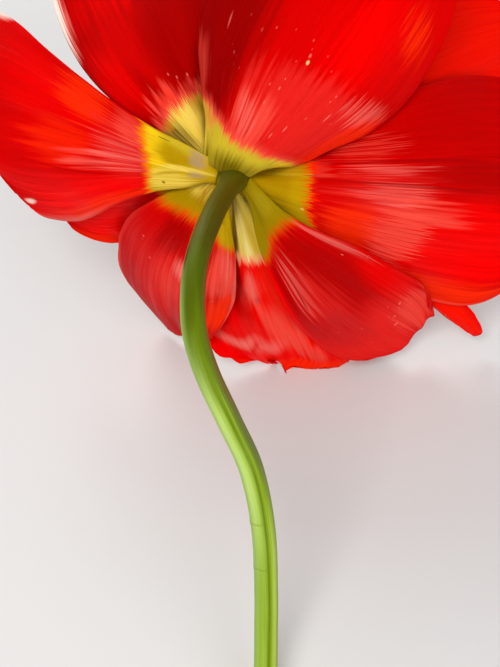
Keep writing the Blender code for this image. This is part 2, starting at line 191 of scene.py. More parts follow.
# what every petal's form shares
petalForm = {
    "clawFades": 0.10,      # how far along the claw's tight bend gives way
    "waveEdge": 1.5,        # how closely the waves keep to the margins
    "waveFull": 0.5,        # where along they are full
    "curlFrom": 0.45,       # where across the margins begin to curl
    "curlFull": 0.4,
}


def petalPoints(p, rows, cols):
    # the petal's middle surface as a grid, claw to tip by margin to margin
    u, v = np.meshgrid(np.linspace(0, 1, rows + 1), np.linspace(-1, 1, cols + 1), indexing="ij")
    steps, line, across, back = midrib(p)
    widest, square = p["wideAt"], p["square"]
    shoulder = widest + (1.0 - widest) * 0.5 ** (1.0 / square)
    top = widest + (1.0 - widest) * (1.0 - np.abs(v) ** square / 2.0) ** (1.0 / square)
    top = top * (1.0 + p.get("skew", 0.0) * v)
    for place, breadth, depth in p.get("nicks", []):
        top = top - depth * hump(v, place, breadth)
    s = u * top
    q = v * halfWidth(p, u * shoulder)
    for side, place, breadth, depth in p.get("slim", []):
        q = q - side * depth * hump(u, place, breadth) * np.clip(side * v, 0, 1) ** 2
    clawBend, midBend, tipBend = (1.0 / r for r in p["cup"])
    nearClaw = np.exp(-s / petalForm["clawFades"])
    bend = clawBend * nearClaw + (midBend + (tipBend - midBend) * ease(s)) * (1.0 - nearClaw)
    sideways = np.sin(bend * q) / bend
    inward = (1.0 - np.cos(bend * q)) / bend
    waveHeight, count, leftPhase, rightPhase = p["wave"]
    phase = np.radians(np.where(v > 0, rightPhase, leftPhase))
    wave = np.abs(v) ** petalForm["waveEdge"] * ease(u / petalForm["waveFull"])
    inward = inward + waveHeight * wave * np.sin(2 * np.pi * count * u + phase)
    for sign, roll in zip((-1, 1), p["curl"]):
        rolled = np.clip((v * sign - petalForm["curlFrom"]) / (1.0 - petalForm["curlFrom"]), 0, 1) ** 2
        inward = inward + roll * rolled * ease(u / petalForm["curlFull"])
    for place, breadth, depth, full in p["folds"]:
        inward = inward + depth * hump(v, place, breadth) * ease(u / full)

    def at(table):
        return np.stack([np.interp(s, steps, table[:, k]) for k in range(3)], axis=-1)

    return at(line) + sideways[..., None] * at(across) - inward[..., None] * at(back)


def spread(field):
    # each value's mean with its neighbours
    padded = np.pad(field, 1, mode="edge")
    return 0.25 * (padded[:-2, 1:-1] + padded[2:, 1:-1] + padded[1:-1, :-2] + padded[1:-1, 2:])


def facing(points):
    # how squarely each spot of a petal faces along the bloom's axis
    normals = np.cross(np.gradient(points, axis=0), np.gradient(points, axis=1))
    return np.clip(np.abs(normals[..., 2]) / np.linalg.norm(normals, axis=-1), bloom["mostSlanted"], 1.0)


def liftClear(points, trees):
    # how far each spot rises along the bloom's axis to clear the petals outside it
    gap = bloom["petalGap"]
    reach = gap + bloom["feltPast"]
    probes = [(0.0, 0.0)] + [(reach * math.cos(a), reach * math.sin(a)) for a in np.arange(8) * math.pi / 4]
    beyondAll = 200.0
    down = Vector((0, 0, -1))
    lift = np.zeros(points.shape[:2])
    for _ in range(bloom["liftPasses"]):
        raised = points.copy()
        raised[..., 2] += lift
        squareness = facing(raised)
        need = np.zeros(points.shape[:2])
        for i, j in np.ndindex(need.shape):
            x, y, z = points[i, j]
            for tree in trees:
                for dx, dy in probes:
                    hit, normal, _, _ = tree.ray_cast(Vector((x + dx, y + dy, beyondAll)), down)
                    if hit is not None:
                        step = gap / min(squareness[i, j], max(abs(normal.z), bloom["mostSlanted"]))
                        need[i, j] = max(need[i, j], hit.z + step - z)
        lift = need.copy()
        for _ in range(bloom["liftSpreads"]):
            lift = np.maximum(need, bloom["liftKept"] * spread(lift))
            lift[0] = need[0]
    return lift


def restOnSurface(points, halfThick):
    # a petal that reaches the surface lies flat on it there
    low = np.maximum(halfThick - heightOf(points), 0.0)
    return points + low[..., None] * toBloom((0.0, 0.0, 1.0))


def formTree(points):
    # the coarse petal as a surface that rays can hit
    rows, cols = points.shape[0], points.shape[1]
    faces = []
    for i, j in np.ndindex(rows - 1, cols - 1):
        a = i * cols + j
        faces += [(a, a + 1, a + cols), (a + 1, a + cols + 1, a + cols)]
    return BVHTree.FromPolygons([Vector(q) for q in points.reshape(-1, 3)], faces)


def softNoise(seed, along, across, rows, cols):
    # seeded smooth noise, from a small lattice of random heights
    lattice = np.random.default_rng(seed).uniform(-1.0, 1.0, (along + 1, across + 1))

    def blend(count, steps):
        place = np.linspace(0, count, steps + 1)
        low = np.minimum(place.astype(int), count - 1)
        return low, ease(place - low)

    i, ti = blend(along, rows)
    j, tj = blend(across, cols)
    first = lattice[i] * (1 - ti[:, None]) + lattice[i + 1] * ti[:, None]
    return first[:, j] * (1 - tj) + first[:, j + 1] * tj


# the finer surface that each petal gets: lengths in mm, the rest as shares of the petal
petalSkin = {
    "rows": 112,
    "cols": 96,
    "liftSoftened": 6,          # how often the lift is smoothed on the finer grid
    "rib": (0.05, 5, 44),       # height of the fine ribs, their number along and across
    "dimple": (0.16, 9, 7),     # the same of the soft unevenness
    "ruffle": (0.35, 13, 11),   # and of the margin's small waves
    "ruffleKept": (3, 6),       # how closely those waves keep to the tip and to the margins
    "reliefFull": 0.15,         # where along all of this is full
    "lobePower": 4,             # how closely the lobes keep to the tip
    "clawSink": (1.6, 0.03),    # how far the claw's end sits in the receptacle, and how far that reaches
    "pullFull": 0.05,
    "thickClaw": 1.0,
    "thickMiddle": 0.42,
    "thickEdge": 0.26,
    "edgePower": 5,             # how closely the thin edge keeps to the margins
    "clawReach": 0.10,          # how far the claw's thickness reaches
    "clawEdge": 0.6,            # how much of it is lost at the claw's margins
    "offSurface": 0.05,
    "leastThick": 0.02,
}


def finer(field, rows, cols):
    # a coarse field read at every spot of a finer grid
    i = np.linspace(0, field.shape[0] - 1, rows + 1)
    j = np.linspace(0, field.shape[1] - 1, cols + 1)
    along = np.stack([np.interp(i, np.arange(field.shape[0]), column) for column in field.T], axis=1)
    full = np.stack([np.interp(j, np.arange(field.shape[1]), row) for row in along])
    for _ in range(petalSkin["liftSoftened"]):
        full = spread(full)
    return full


# where a petal's foot sits on the receptacle, in mm and shares: how far in at its lower side, middle and
# upper side, how far back along the stem and sideways, and how much narrower each side is; and a pull on
# its sides further out: lower side, upper side, where along and how far that reaches
plainHem = {"in": (0.0, 0.0, 0.0), "back": 0.0, "slide": 0.0, "trim": (0.0, 0.0), "reach": 0.07,
            "pull": (0.0, 0.0, 0.1, 0.1)}


def skinPoints(p, lift, seed):
    # the fine middle surface: form, lift, relief, and the petal's own end and foot
    rows, cols = petalSkin["rows"], petalSkin["cols"]
    points = petalPoints(p, rows, cols)
    points[..., 2] += finer(lift, rows, cols)
    points = restOnSurface(points, 0.5 * bloom["petalThick"])
    u, v = np.meshgrid(np.linspace(0, 1, rows + 1), np.linspace(-1, 1, cols + 1), indexing="ij")
    normals = np.cross(np.gradient(points, axis=0), np.gradient(points, axis=1))
    normals /= np.linalg.norm(normals, axis=-1)[..., None]

    def relief(kind, turn):
        height, along, across = petalSkin[kind]
        return softNoise(seed + turn, along, across, rows, cols) * height

    toTip, toMargin = petalSkin["ruffleKept"]
    margin = np.maximum(np.abs(v), u ** toTip) ** toMargin
    height = relief("rib", 0) + relief("dimple", 1) + relief("ruffle", 2) * margin
    points = points + (height * ease(u / petalSkin["reliefFull"]))[..., None] * normals
    onward = np.gradient(points, axis=0)
    onward /= np.linalg.norm(onward, axis=-1)[..., None]
    for place, breadth, longer, raised in p.get("lobes", []):
        share = hump(v, place, breadth) * u ** petalSkin["lobePower"]
        points = points + share[..., None] * (longer * onward + raised * normals)
    out, side = outAndSide(p["azimuth"])
    hem = dict(plainHem, **p.get("hem", {}))
    near = hump(u, 0.0, hem["reach"])
    lower, middle, upper = hem["in"]
    inward = near * (middle + np.where(v < 0, lower - middle, upper - middle) * np.abs(v))
    lower, upper, place, breadth = hem["pull"]
    further = hump(u, place, breadth) * ease(u / petalSkin["pullFull"])
    inward = inward + further * np.where(v < 0, lower, upper) * np.abs(v) ** 2
    narrower = np.where(v < 0, *hem["trim"]) * np.abs(v) * halfWidth(p, 0.0)
    sideways = near * (hem["slide"] - np.sign(v) * narrower)
    sink, reach = petalSkin["clawSink"]
    inward = inward + sink * np.exp(-u / reach)
    points = points - inward[..., None] * out + sideways[..., None] * side
    points[..., 2] -= near * hem["back"]
    return restOnSurface(points, 0.5 * petalSkin["thickEdge"] + petalSkin["offSurface"])


def petalPiece(p, points, materials):
    # a grid moved to the petal's surface, its back faces out, thickened by a modifier
    rows, cols = petalSkin["rows"], petalSkin["cols"]
    claw, middle = petalSkin["thickClaw"], petalSkin["thickMiddle"]
    place = bloomMatrix()
    bm = bmesh.new()
    uvLayer = bm.loops.layers.uv.new("petalUv")
    thickness = bm.verts.layers.deform.verify()
    bmesh.ops.create_grid(bm, x_segments=rows, y_segments=cols, size=1.0)
    for face in bm.faces:
        for corner in face.loops:
            corner[uvLayer].uv = (corner.vert.co.y / 2.0 + 0.5, corner.vert.co.x / 2.0 + 0.5)
    for vert in bm.verts:
        u, v = (vert.co.x + 1.0) / 2.0, vert.co.y
        clawShare = math.exp(-u / petalSkin["clawReach"]) * (1.0 - petalSkin["clawEdge"] * v * v)
        edge = max(abs(v), u) ** petalSkin["edgePower"]
        thick = middle * (1.0 - edge) + petalSkin["thickEdge"] * edge + (claw - middle) * clawShare
        vert[thickness][0] = thick / claw
        i, j = round(u * rows), round((v + 1.0) / 2.0 * cols)
        vert.co = place @ Vector(points[i, j])
    bm.normal_update()
    mouth = place.to_3x3() @ Vector((0, 0, 1))
    if sum(face.normal.dot(mouth) for face in bm.faces) > 0:
        bmesh.ops.reverse_faces(bm, faces=bm.faces[:])
    piece = newPiece(p["name"] + "_skin", bm, materials)
    piece.vertex_groups.new(name="thickness")
    body = piece.modifiers.new("thickness", "SOLIDIFY")
    body.thickness = claw * 0.001
    body.offset = 0.0
    body.vertex_group = "thickness"
    body.thickness_vertex_group = petalSkin["leastThick"]
    body.material_offset = 1
    return piece


def smoothLine(points, steps, perSpan=24):
    # a smooth line through the points, evenly stepped along its length
    pts = np.array(points, float)
    pts = np.vstack([2 * pts[0] - pts[1], pts, 2 * pts[-1] - pts[-2]])
    fine = []
    for i in range(1, len(pts) - 2):
        a, b, c, d = pts[i - 1:i + 3]
        for t in np.linspace(0.0, 1.0, perSpan, endpoint=False):
            fine.append(0.5 * (2 * b + (c - a) * t + (2 * a - 5 * b + 4 * c - d) * t ** 2
                               + (3 * b - a - 3 * c + d) * t ** 3))
    fine.append(pts[-2])
    fine = np.array(fine)
    run = np.concatenate([[0.0], np.cumsum(np.linalg.norm(np.diff(fine, axis=0), axis=1))])
    even = np.linspace(0.0, run[-1], steps + 1)
    return even, np.stack([np.interp(even, run, fine[:, k]) for k in range(3)], axis=1)


sameSpot = 0.000001      # metres


def closedTube(name, points, shares, materials, secondFrom=None):
    # a grid wrapped into a tube, its end rings drawn into points; one point for each ring and spot, and
    # the second material from a given ring on
    rings, spots = points.shape[0] - 1, points.shape[1] - 1
    place = bloomMatrix()
    bm = bmesh.new()
    uvLayer = bm.loops.layers.uv.new("tubeUv")
    bmesh.ops.create_grid(bm, x_segments=rings, y_segments=spots, size=1.0)

    def ringAndSpot(vert):
        return round((vert.co.x + 1.0) / 2.0 * rings), round((vert.co.y + 1.0) / 2.0 * spots)

    for face in bm.faces:
        nearest = rings
        for corner in face.loops:
            i, j = ringAndSpot(corner.vert)
            corner[uvLayer].uv = (j / spots, shares[i])
            nearest = min(nearest, i)
        if secondFrom is not None and nearest >= secondFrom:
            face.material_index = 1
    for vert in bm.verts:
        i, j = ringAndSpot(vert)
        vert.co = place @ Vector(points[i, j])
    bmesh.ops.remove_doubles(bm, verts=bm.verts[:], dist=sameSpot)
    bmesh.ops.recalc_face_normals(bm, faces=bm.faces[:])
    return newPiece(name, bm, materials)


def ringNoise(seed, along, around, rings, spots):
    # smooth noise whose last spot round a ring meets its first
    noise = softNoise(seed, along, around, rings, spots)
    noise[:, -1] = noise[:, 0]
    return noise


# lengths in mm, angles in degrees round the stem from the right
stem = {
    # the middle line from the receptacle: right, forward, up
    "route": [
        (0.0, 0.0, 0.0), (-0.8, -8.5, 4.0), (-3.2, -18.8, 7.0), (-5.9, -31.0, 8.4), (-7.3, -41.5, 7.4),
        (-7.0, -51.5, 3.6), (-4.4, -58.5, -2.6), (0.4, -64.6, -12.0), (5.4, -70.8, -22.6),
        (8.0, -79.0, -34.6), (8.7, -87.5, -47.0), (8.7, -96.0, -57.4), (8.5, -106.5, -64.2),
        (8.3, -121.0, -66.9), (8.0, -150.0, -67.2), (7.4, -186.0, -67.2),
    ],
    "routeSteps": 500,
    # the receptacle: distance ahead of the outer petals' roots, radius; the first is the stem's own
    "receptacle": [(-9.0, 2.75), (-5.0, 2.85), (-2.6, 3.05), (-1.2, 3.35), (-0.3, 3.7), (0.6, 4.15),
                   (1.6, 4.25), (3.0, 4.15), (4.4, 3.7)],
    "dome": 0.6,                     # how far its end bulges into the bloom
    "domeRings": 9,
    "step": 0.6,                     # between rings
    "softened": 2,                   # how often the rings' radii are evened out
    "around": 60,
    # what runs along it, the groove, a flat side and a ridge: angle, breadth, height
    "lengthwise": [(72.0, 15.0, -0.34), (25.0, 22.0, -0.10), (103.5, 15.0, 0.17)],
    "lengthwiseFrom": (48.0, 85.0),  # where along these begin and are full
    "swelling": (2.5, 4.5, 1.0, 10.0),   # beside the receptacle: along, length, height, angle
    # faint rings: along, height, breadth of the dark line
    "marks": [(0.452, 0.10, 0.0022), (0.502, 0.07, 0.0018)],
    "markBreadth": 0.7,
    "markRound": 0.6,                # how much of the way round a mark goes
    "ribs": (0.035, 14, 30),         # height, number along and around
    "lumps": (0.05, 26, 5),
    "seed": 31,                      # of the ribs; the lumps have the next
    "bevel": 0.4,
    "bevelRings": 4,
    "cutHollow": 0.25,
    "cutRings": 8,
}


def stemRings():
    # every ring's distance along and radius, from the dome's middle to the middle of the cut
    outline = np.array(stem["receptacle"])
    even, route = smoothLine([toBloom(point) for point in stem["route"]], stem["routeSteps"])
    ahead = outline[-1, 0]
    turn = np.linspace(0.0, 0.5 * np.pi, stem["domeRings"])
    distance = list(-(ahead + stem["dome"] * np.cos(turn)))
    radius = list(outline[-1, 1] * np.sin(turn))
    body = np.arange(-ahead + 0.5 * stem["step"], even[-1] - stem["bevel"], stem["step"])
    distance += list(body)
    radius += list(np.interp(-body, outline[:, 0], outline[:, 1]))
    whole = radius[-1]
    turn = np.linspace(0.0, 0.5 * np.pi, stem["bevelRings"])
    distance += list(even[-1] - stem["bevel"] * (1.0 - np.sin(turn)))
    radius += list(whole - stem["bevel"] * (1.0 - np.cos(turn)))
    inward = np.linspace(1.0, 0.0, stem["cutRings"])[1:]
    distance += list(even[-1] - stem["cutHollow"] * (1.0 - inward ** 2))
    radius += list((whole - stem["bevel"]) * inward)
    radius = np.array(radius)
    middle = slice(stem["domeRings"], len(radius) - stem["cutRings"])
    for _ in range(stem["softened"]):
        softened = radius.copy()
        softened[1:-1] = 0.25 * radius[:-2] + 0.5 * radius[1:-1] + 0.25 * radius[2:]
        radius[middle] = softened[middle]
    return np.array(distance), radius, even, route


def stemRelief(distance, turn):
    # how far each spot stands out: lengthwise shapes, the swelling, ring marks, ribs and lumps
    degrees, run = np.meshgrid(np.degrees(turn), distance)
    begins, full = stem["lengthwiseFrom"]
    relief = sum(height * hump(degrees, place, breadth) for place, breadth, height in stem["lengthwise"])
    relief = relief * ease((run - begins) / (full - begins))
    place, breadth, height, angle = stem["swelling"]
    relief += height * hump(run, place, breadth) * np.cos(np.radians(degrees - angle)).clip(0, 1) ** 2
    for place, height, _ in stem["marks"]:
        mark = height * hump(run, place * distance.max(), stem["markBreadth"])
        relief += mark * ease(stem["markRound"] - np.cos(np.radians(degrees)))
    rings, spots = len(distance) - 1, len(turn) - 1
    height, along, around = stem["ribs"]
    relief += height * ringNoise(stem["seed"], along, around, rings, spots)
    height, along, around = stem["lumps"]
    lumps = softNoise(stem["seed"] + 1, along, around, rings, spots)
    last = lumps[:, -4:-3]
    lumps[:, -3:] = last + (lumps[:, :1] - last) * np.array([1, 2, 3]) / 3   # meets the first spot smoothly
    return relief + height * lumps


def stemPoints():
    distance, radius, even, route = stemRings()

    def centre(d):
        onRoute = np.stack([np.interp(d, even, route[:, k]) for k in range(3)], axis=1)
        return onRoute + np.outer(np.maximum(-d, 0.0), (0.0, 0.0, 1.0))

    along = centre(distance + 0.5) - centre(distance - 0.5)
    along /= np.linalg.norm(along, axis=1)[:, None]
    right = np.array([1.0, 0.0, 0.0]) - along * along[:, :1]
    right /= np.linalg.norm(right, axis=1)[:, None]
    up = np.cross(along, right)
    turn = np.linspace(0.0, 2.0 * np.pi, stem["around"] + 1)
    shrunk = (radius / stem["receptacle"][0][1])[:, None]
    reach = radius[:, None] + stemRelief(distance, turn) * shrunk
    reach = np.where(radius[:, None] > 0.001, reach, 0.0)
    ring = np.cos(turn)[None, :, None] * right[:, None] + np.sin(turn)[None, :, None] * up[:, None]
    return centre(distance)[:, None] + reach[..., None] * ring, distance / distance.max()


# lengths in mm
stamen = {
    "count": 6,
    "firstAt": 30.0,           # degrees
    "ring": 2.75,              # radius of the ring they stand on
    "lean": 6.0,
    "floor": 4.7,
    "sink": (0.5, 0.8),        # how far the feet go into the receptacle, and how far up that is felt
    # distance up, half width across the ring, half width outward
    "shape": [(0.0, 0.62, 0.5), (3.0, 0.7, 0.5), (7.0, 0.55, 0.45), (11.0, 0.4, 0.35), (12.2, 0.34, 0.3),
              (12.8, 0.8, 0.6), (13.6, 1.25, 1.0), (15.5, 1.5, 1.18), (20.0, 1.55, 1.2), (24.0, 1.3, 1.0),
              (26.4, 0.75, 0.6), (27.2, 0.2, 0.2)],
    "rings": 88,
    "around": 32,
    "antherFrom": (12.6, 1.2),
    # the anther's furrows, down its sides and down its face and back: depth as a share, sharpness
    "splits": (0.34, 10),
    "furrows": (0.16, 16),
    "pollen": 0.07,
    "seed": 60,
    "wander": (0.25, 0.35, 6.0),   # how far and how often a filament bends, and from where in full
}
pistil = {
    "floor": 4.7,
    "sink": (0.4, 0.8),
    # distance up, radius, depth of the three lobes
    "shape": [(0.0, 1.6, 0.0), (1.5, 2.0, 0.06), (4.0, 2.4, 0.10), (10.0, 2.4, 0.12), (15.0, 2.1, 0.12),
              (17.5, 1.7, 0.12), (18.6, 1.65, 0.16), (19.4, 2.25, 0.33), (20.4, 2.65, 0.42),
              (21.2, 2.4, 0.42), (21.7, 1.3, 0.40)],
    "rings": 90,
    "around": 72,
    "stigmaFrom": (18.3, 0.8),
    "crests": (0.10, 0.02),    # depth and breadth of the fold along the middle of each lobe
    "skin": 0.012,             # roughness of the ovary
    "papillae": 0.06,          # and of the stigma, on top of that
    "arched": 0.18,            # how far the lobes' middles rise
    "seed": 71,
}
grainsAlong = 60


def drawnIn(table, count):
    # a table of rings filled out evenly, with both ends drawn into points
    table = np.array(table)
    even = np.linspace(table[0, 0], table[-1, 0], count - 2)
    full = np.stack([even] + [np.interp(even, table[:, 0], column) for column in table.T[1:]], axis=1)
    inside = full.copy()
    inside[1:-1, 1:] = 0.25 * full[:-2, 1:] + 0.5 * full[1:-1, 1:] + 0.25 * full[2:, 1:]
    first, last = inside[0].copy(), inside[-1].copy()
    first[1:] = 0.0
    last[1:] = 0.0
    return np.vstack([first, inside, last])


def sunkRings(part):
    # the rings of a stamen or the pistil, how far up each is, and the angles round them
    rows = drawnIn(part["shape"], part["rings"])
    sink, felt = part["sink"]
    turn = np.linspace(0.0, 2.0 * np.pi, part["around"] + 1)
    return rows, rows[:, 0] - sink * np.exp(-rows[:, 0] / felt), turn


def stamenPoints(number):
    rows, distance, turn = sunkRings(stamen)
    out, side = outAndSide(stamen["firstAt"] + 360.0 * number / stamen["count"])
    lean = math.radians(stamen["lean"])
    along = out * math.sin(lean) + np.array([0.0, 0.0, math.cos(lean)])
    foot = out * stamen["ring"] + np.array([0.0, 0.0, stamen["floor"]])
    begins, swells = stamen["antherFrom"]
    anther = ease((rows[:, 0] - begins) / swells)[:, None]
    depth, sharp = stamen["splits"]
    splits = depth * np.abs(np.sin(turn)) ** sharp
    depth, sharp = stamen["furrows"]
    furrows = depth * np.abs(np.cos(turn)) ** sharp
    grains = ringNoise(stamen["seed"] + number, grainsAlong,
                       stamen["around"], len(rows) - 1, stamen["around"])
    reach = 1.0 - anther * (splits + furrows) + grains * stamen["pollen"] * anther
    ring = (np.cos(turn) * reach * rows[:, 2:3])[..., None] * out
    ring = ring + (np.sin(turn) * reach * rows[:, 1:2])[..., None] * side
    far, often, full = stamen["wander"]
    bend = far * np.sin(rows[:, 0] * often + number)[:, None]
    middle = foot + distance[:, None] * along + bend * side * ease(rows[:, :1] / full)
    return middle[:, None] + ring, rows[:, 0] / rows[-1, 0]


def pistilPoints():
    rows, distance, turn = sunkRings(pistil)
    begins, swells = pistil["stigmaFrom"]
    stigma = ease((rows[:, 0] - begins) / swells)[:, None]
    reach = rows[:, 1:2] * (1.0 + rows[:, 2:3] * np.cos(3.0 * turn))
    depth, breadth = pistil["crests"]
    reach = reach * (1.0 - stigma * depth * hump(np.abs(np.cos(1.5 * turn)), 1.0, breadth))
    grains = ringNoise(pistil["seed"], grainsAlong, grainsAlong, len(rows) - 1, pistil["around"])
    narrow = np.minimum(rows[:, 1:2], 1.0)
    reach = reach + grains * (pistil["skin"] + pistil["papillae"] * stigma) * narrow
    level = np.repeat((pistil["floor"] + distance)[:, None], len(turn), axis=1)
    level = level + pistil["arched"] * stigma * np.cos(3.0 * turn) * narrow
    return np.stack([reach * np.cos(turn), reach * np.sin(turn), level], axis=2), rows[:, 0] / rows[-1, 0]


# Shading helpers
def feed(tree, value, socket):
    # a link from another node, or a plain value
    if isinstance(value, bpy.types.NodeSocket):
        tree.links.new(value, socket)
    else:
        socket.default_value = value


def calc(tree, operation, *values, clamp=False):
    node = tree.nodes.new("ShaderNodeMath")
    node.operation = operation
    node.use_clamp = clamp
    for value, socket in zip(values, node.inputs):
        feed(tree, value, socket)
    return node.outputs[0]


def times(tree, first, second):
    return calc(tree, "MULTIPLY", first, second)


def blendColour(tree, share, first, second):
    node = tree.nodes.new("ShaderNodeMix")
    node.data_type = "RGBA"
    node.clamp_factor = True
    feed(tree, share, node.inputs["Factor"])
    for value, socket in zip((first, second), (node.inputs[6], node.inputs[7])):
        feed(tree, value, socket)
    return node.outputs[2]


def laid(tree, colour, over, mask, strength):
    # a colour laid over another where the mask is
    return blendColour(tree, times(tree, mask, strength), colour, over)


def remap(tree, value, low, high, outLow=0.0, outHigh=1.0):
    node = tree.nodes.new("ShaderNodeMapRange")
    node.interpolation_type = "SMOOTHSTEP"
    for number, socket in zip((value, low, high, outLow, outHigh), node.inputs):
        feed(tree, number, socket)
    return node.outputs[0]


def separated(tree, vector):
    node = tree.nodes.new("ShaderNodeSeparateXYZ")
    tree.links.new(vector, node.inputs[0])
    return node.outputs[0], node.outputs[1]


def joined(tree, *values):
    node = tree.nodes.new("ShaderNodeCombineXYZ")
    for value, socket in zip(values, node.inputs):
        feed(tree, value, socket)
    return node.outputs[0]


def noiseAt(tree, place, scale=1.0, detail=2.0):
    node = tree.nodes.new("ShaderNodeTexNoise")
    node.inputs["Scale"].default_value = scale
    node.inputs["Detail"].default_value = detail
    tree.links.new(place, node.inputs["Vector"])
    return node.outputs["Fac"]


def cellsAt(tree, place, scale=1.0):
    node = tree.nodes.new("ShaderNodeTexVoronoi")
    node.inputs["Scale"].default_value = scale
    tree.links.new(place, node.inputs["Vector"])
    return node.outputs


def newGroup(name, values, result):
    # a group that reads a surface and some values, and gives one value back
    group = bpy.data.node_groups.new(name, "ShaderNodeTree")
    group.interface.new_socket(name="Surface", in_out="INPUT", socket_type="NodeSocketVector")
    for label, value in values.items():
        socket = group.interface.new_socket(name=label, in_out="INPUT", socket_type="NodeSocketFloat")
        socket.default_value = value
    group.interface.new_socket(name=result, in_out="OUTPUT", socket_type="NodeSocketFloat")
    return group, group.nodes.new("NodeGroupInput").outputs, group.nodes.new("NodeGroupOutput").inputs


def useGroup(tree, group, surface, values):
    node = tree.nodes.new("ShaderNodeGroup")
    node.node_tree = group
    feed(tree, surface, node.inputs["Surface"])
    for label, value in values.items():
        feed(tree, value, node.inputs[label])
    return node.outputs[0]


def newMaterial(name):
    made = bpy.data.materials.new(name)
    made.use_nodes = True
    return made, made.node_tree, made.node_tree.nodes["Principled BSDF"]


def setInputs(shader, values):
    for label, value in values.items():
        shader.inputs[label].default_value = value


def addBump(tree, shader, strength, height):
    # fine relief, up to 0.2 mm high
    bump = tree.nodes.new("ShaderNodeBump")
    bump.inputs["Strength"].default_value = strength
    bump.inputs["Distance"].default_value = 0.0002
    feed(tree, height, bump.inputs["Height"])
    tree.links.new(bump.outputs[0], shader.inputs["Normal"])


# the stretch of the noise that shows as threads, from none to full
threadRange = {"petal": (0.25, 0.75), "tube": (0.28, 0.72)}


def makeFibres():
    # threads that run along a surface: streaks of noise drawn out along its length
    group, given, result = newGroup("fibres", {"Threads": 60.0, "Breaks": 3.0, "Seed": 0.0}, "Value")
    across, along = separated(group, given["Surface"])
    threads, breaks = times(group, across, given["Threads"]), times(group, along, given["Breaks"])
    streaks = noiseAt(group, joined(group, threads, breaks, given["Seed"]))
    feed(group, remap(group, streaks, *threadRange["petal"]), result[0])
    return group


def makePatch():
    # a soft oval patch whose edge frays along the fibres
    group, given, result = newGroup(
        "frayedPatch",
        {"Across": 0.0, "Along": 0.5, "Half Width": 0.3, "Half Length": 0.2, "Slant": 0.0, "Soft": 0.4,
         "Fray": 0.3, "Fibre": 0.5, "Streaks": 0.3, "Strength": 1.0},
        "Mask")
    across, along = separated(group, given["Surface"])
    across = calc(group, "SUBTRACT", calc(group, "MULTIPLY_ADD", across, 2.0, -1.0), given["Across"])
    along = calc(group, "SUBTRACT", along, given["Along"])
    sideways = calc(group, "SUBTRACT", across, times(group, along, given["Slant"]))
    wide = calc(group, "DIVIDE", sideways, given["Half Width"])
    long = calc(group, "DIVIDE", along, given["Half Length"])
    distance = calc(group, "SQRT", calc(group, "ADD", times(group, wide, wide), times(group, long, long)))
    ragged = times(group, calc(group, "SUBTRACT", given["Fibre"], 0.5), given["Fray"])
    inner = calc(group, "SUBTRACT", 1.0, given["Soft"])
    outer = calc(group, "ADD", 1.0, given["Soft"])
    mask = remap(group, calc(group, "ADD", distance, ragged), inner, outer, 1.0, 0.0)
    thin = times(group, given["Fibre"], given["Streaks"])
    mask = times(group, mask, calc(group, "SUBTRACT", 1.0, thin))
    feed(group, calc(group, "MULTIPLY", mask, given["Strength"], clamp=True), result[0])
    return group


clawEdge = {
    "full": 0.95,       # where across a petal its side counts in full
    "power": 2.4,       # how late it begins to count
    "blur": 0.6,        # how much softer a stain that reaches further is
}


def makeClaw():
    # the claw's stain: how far it reaches up the middle and each side of a petal
    group, given, result = newGroup(
        "clawStain",
        {"Middle": 0.3, "Left": 0.3, "Right": 0.3, "Soft": 0.02, "Fray": 0.05, "Fibre": 0.5},
        "Mask")
    across, along = separated(group, given["Surface"])
    across = calc(group, "MULTIPLY_ADD", across, 2.0, -1.0)
    reach = given["Middle"]
    for side, sign in (("Left", -1.0), ("Right", 1.0)):
        share = remap(group, calc(group, "MULTIPLY", across, sign, clamp=True), 0.0, clawEdge["full"])
        step = calc(group, "SUBTRACT", given[side], given["Middle"])
        reach = calc(group, "MULTIPLY_ADD", step, calc(group, "POWER", share, clawEdge["power"]), reach)
    ragged = times(group, calc(group, "SUBTRACT", given["Fibre"], 0.5), given["Fray"])
    reach = calc(group, "ADD", reach, ragged)
    low = calc(group, "SUBTRACT", reach, given["Soft"])
    high = calc(group, "ADD", reach, given["Soft"])
    feed(group, remap(group, along, low, high, 1.0, 0.0), result[0])
    return group


fleck = {
    "cells": (60.0, 34.0),     # across and along a petal, each with a fleck or none
    "empty": (0.72, 0.76),     # share of the cells that have none
    "size": (0.10, 0.26),      # from the smallest to the largest, as a share of a cell
    "soft": 0.07,
}


def makeFlecks():
    # small pale scars scattered over a surface, longer along it than across
    group, given, result = newGroup("flecks", {"Seed": 0.0}, "Mask")
    across, along = separated(group, given["Surface"])
    across = times(group, across, fleck["cells"][0])
    along = calc(group, "MULTIPLY_ADD", along, fleck["cells"][1], given["Seed"])
    cells = cellsAt(group, joined(group, across, along))
    shade = group.nodes.new("ShaderNodeSeparateColor")
    group.links.new(cells["Color"], shade.inputs[0])
    few = remap(group, shade.outputs[0], *fleck["empty"])
    size = remap(group, shade.outputs[1], 0.0, 1.0, *fleck["size"])
    dots = remap(group, calc(group, "SUBTRACT", size, cells["Distance"]), 0.0, fleck["soft"])
    feed(group, times(group, dots, few), result[0])
    return group


fibres = makeFibres()
flecks = makeFlecks()
frayedPatch = makePatch()
clawStain = makeClaw()
print("stage: shared shading groups made")

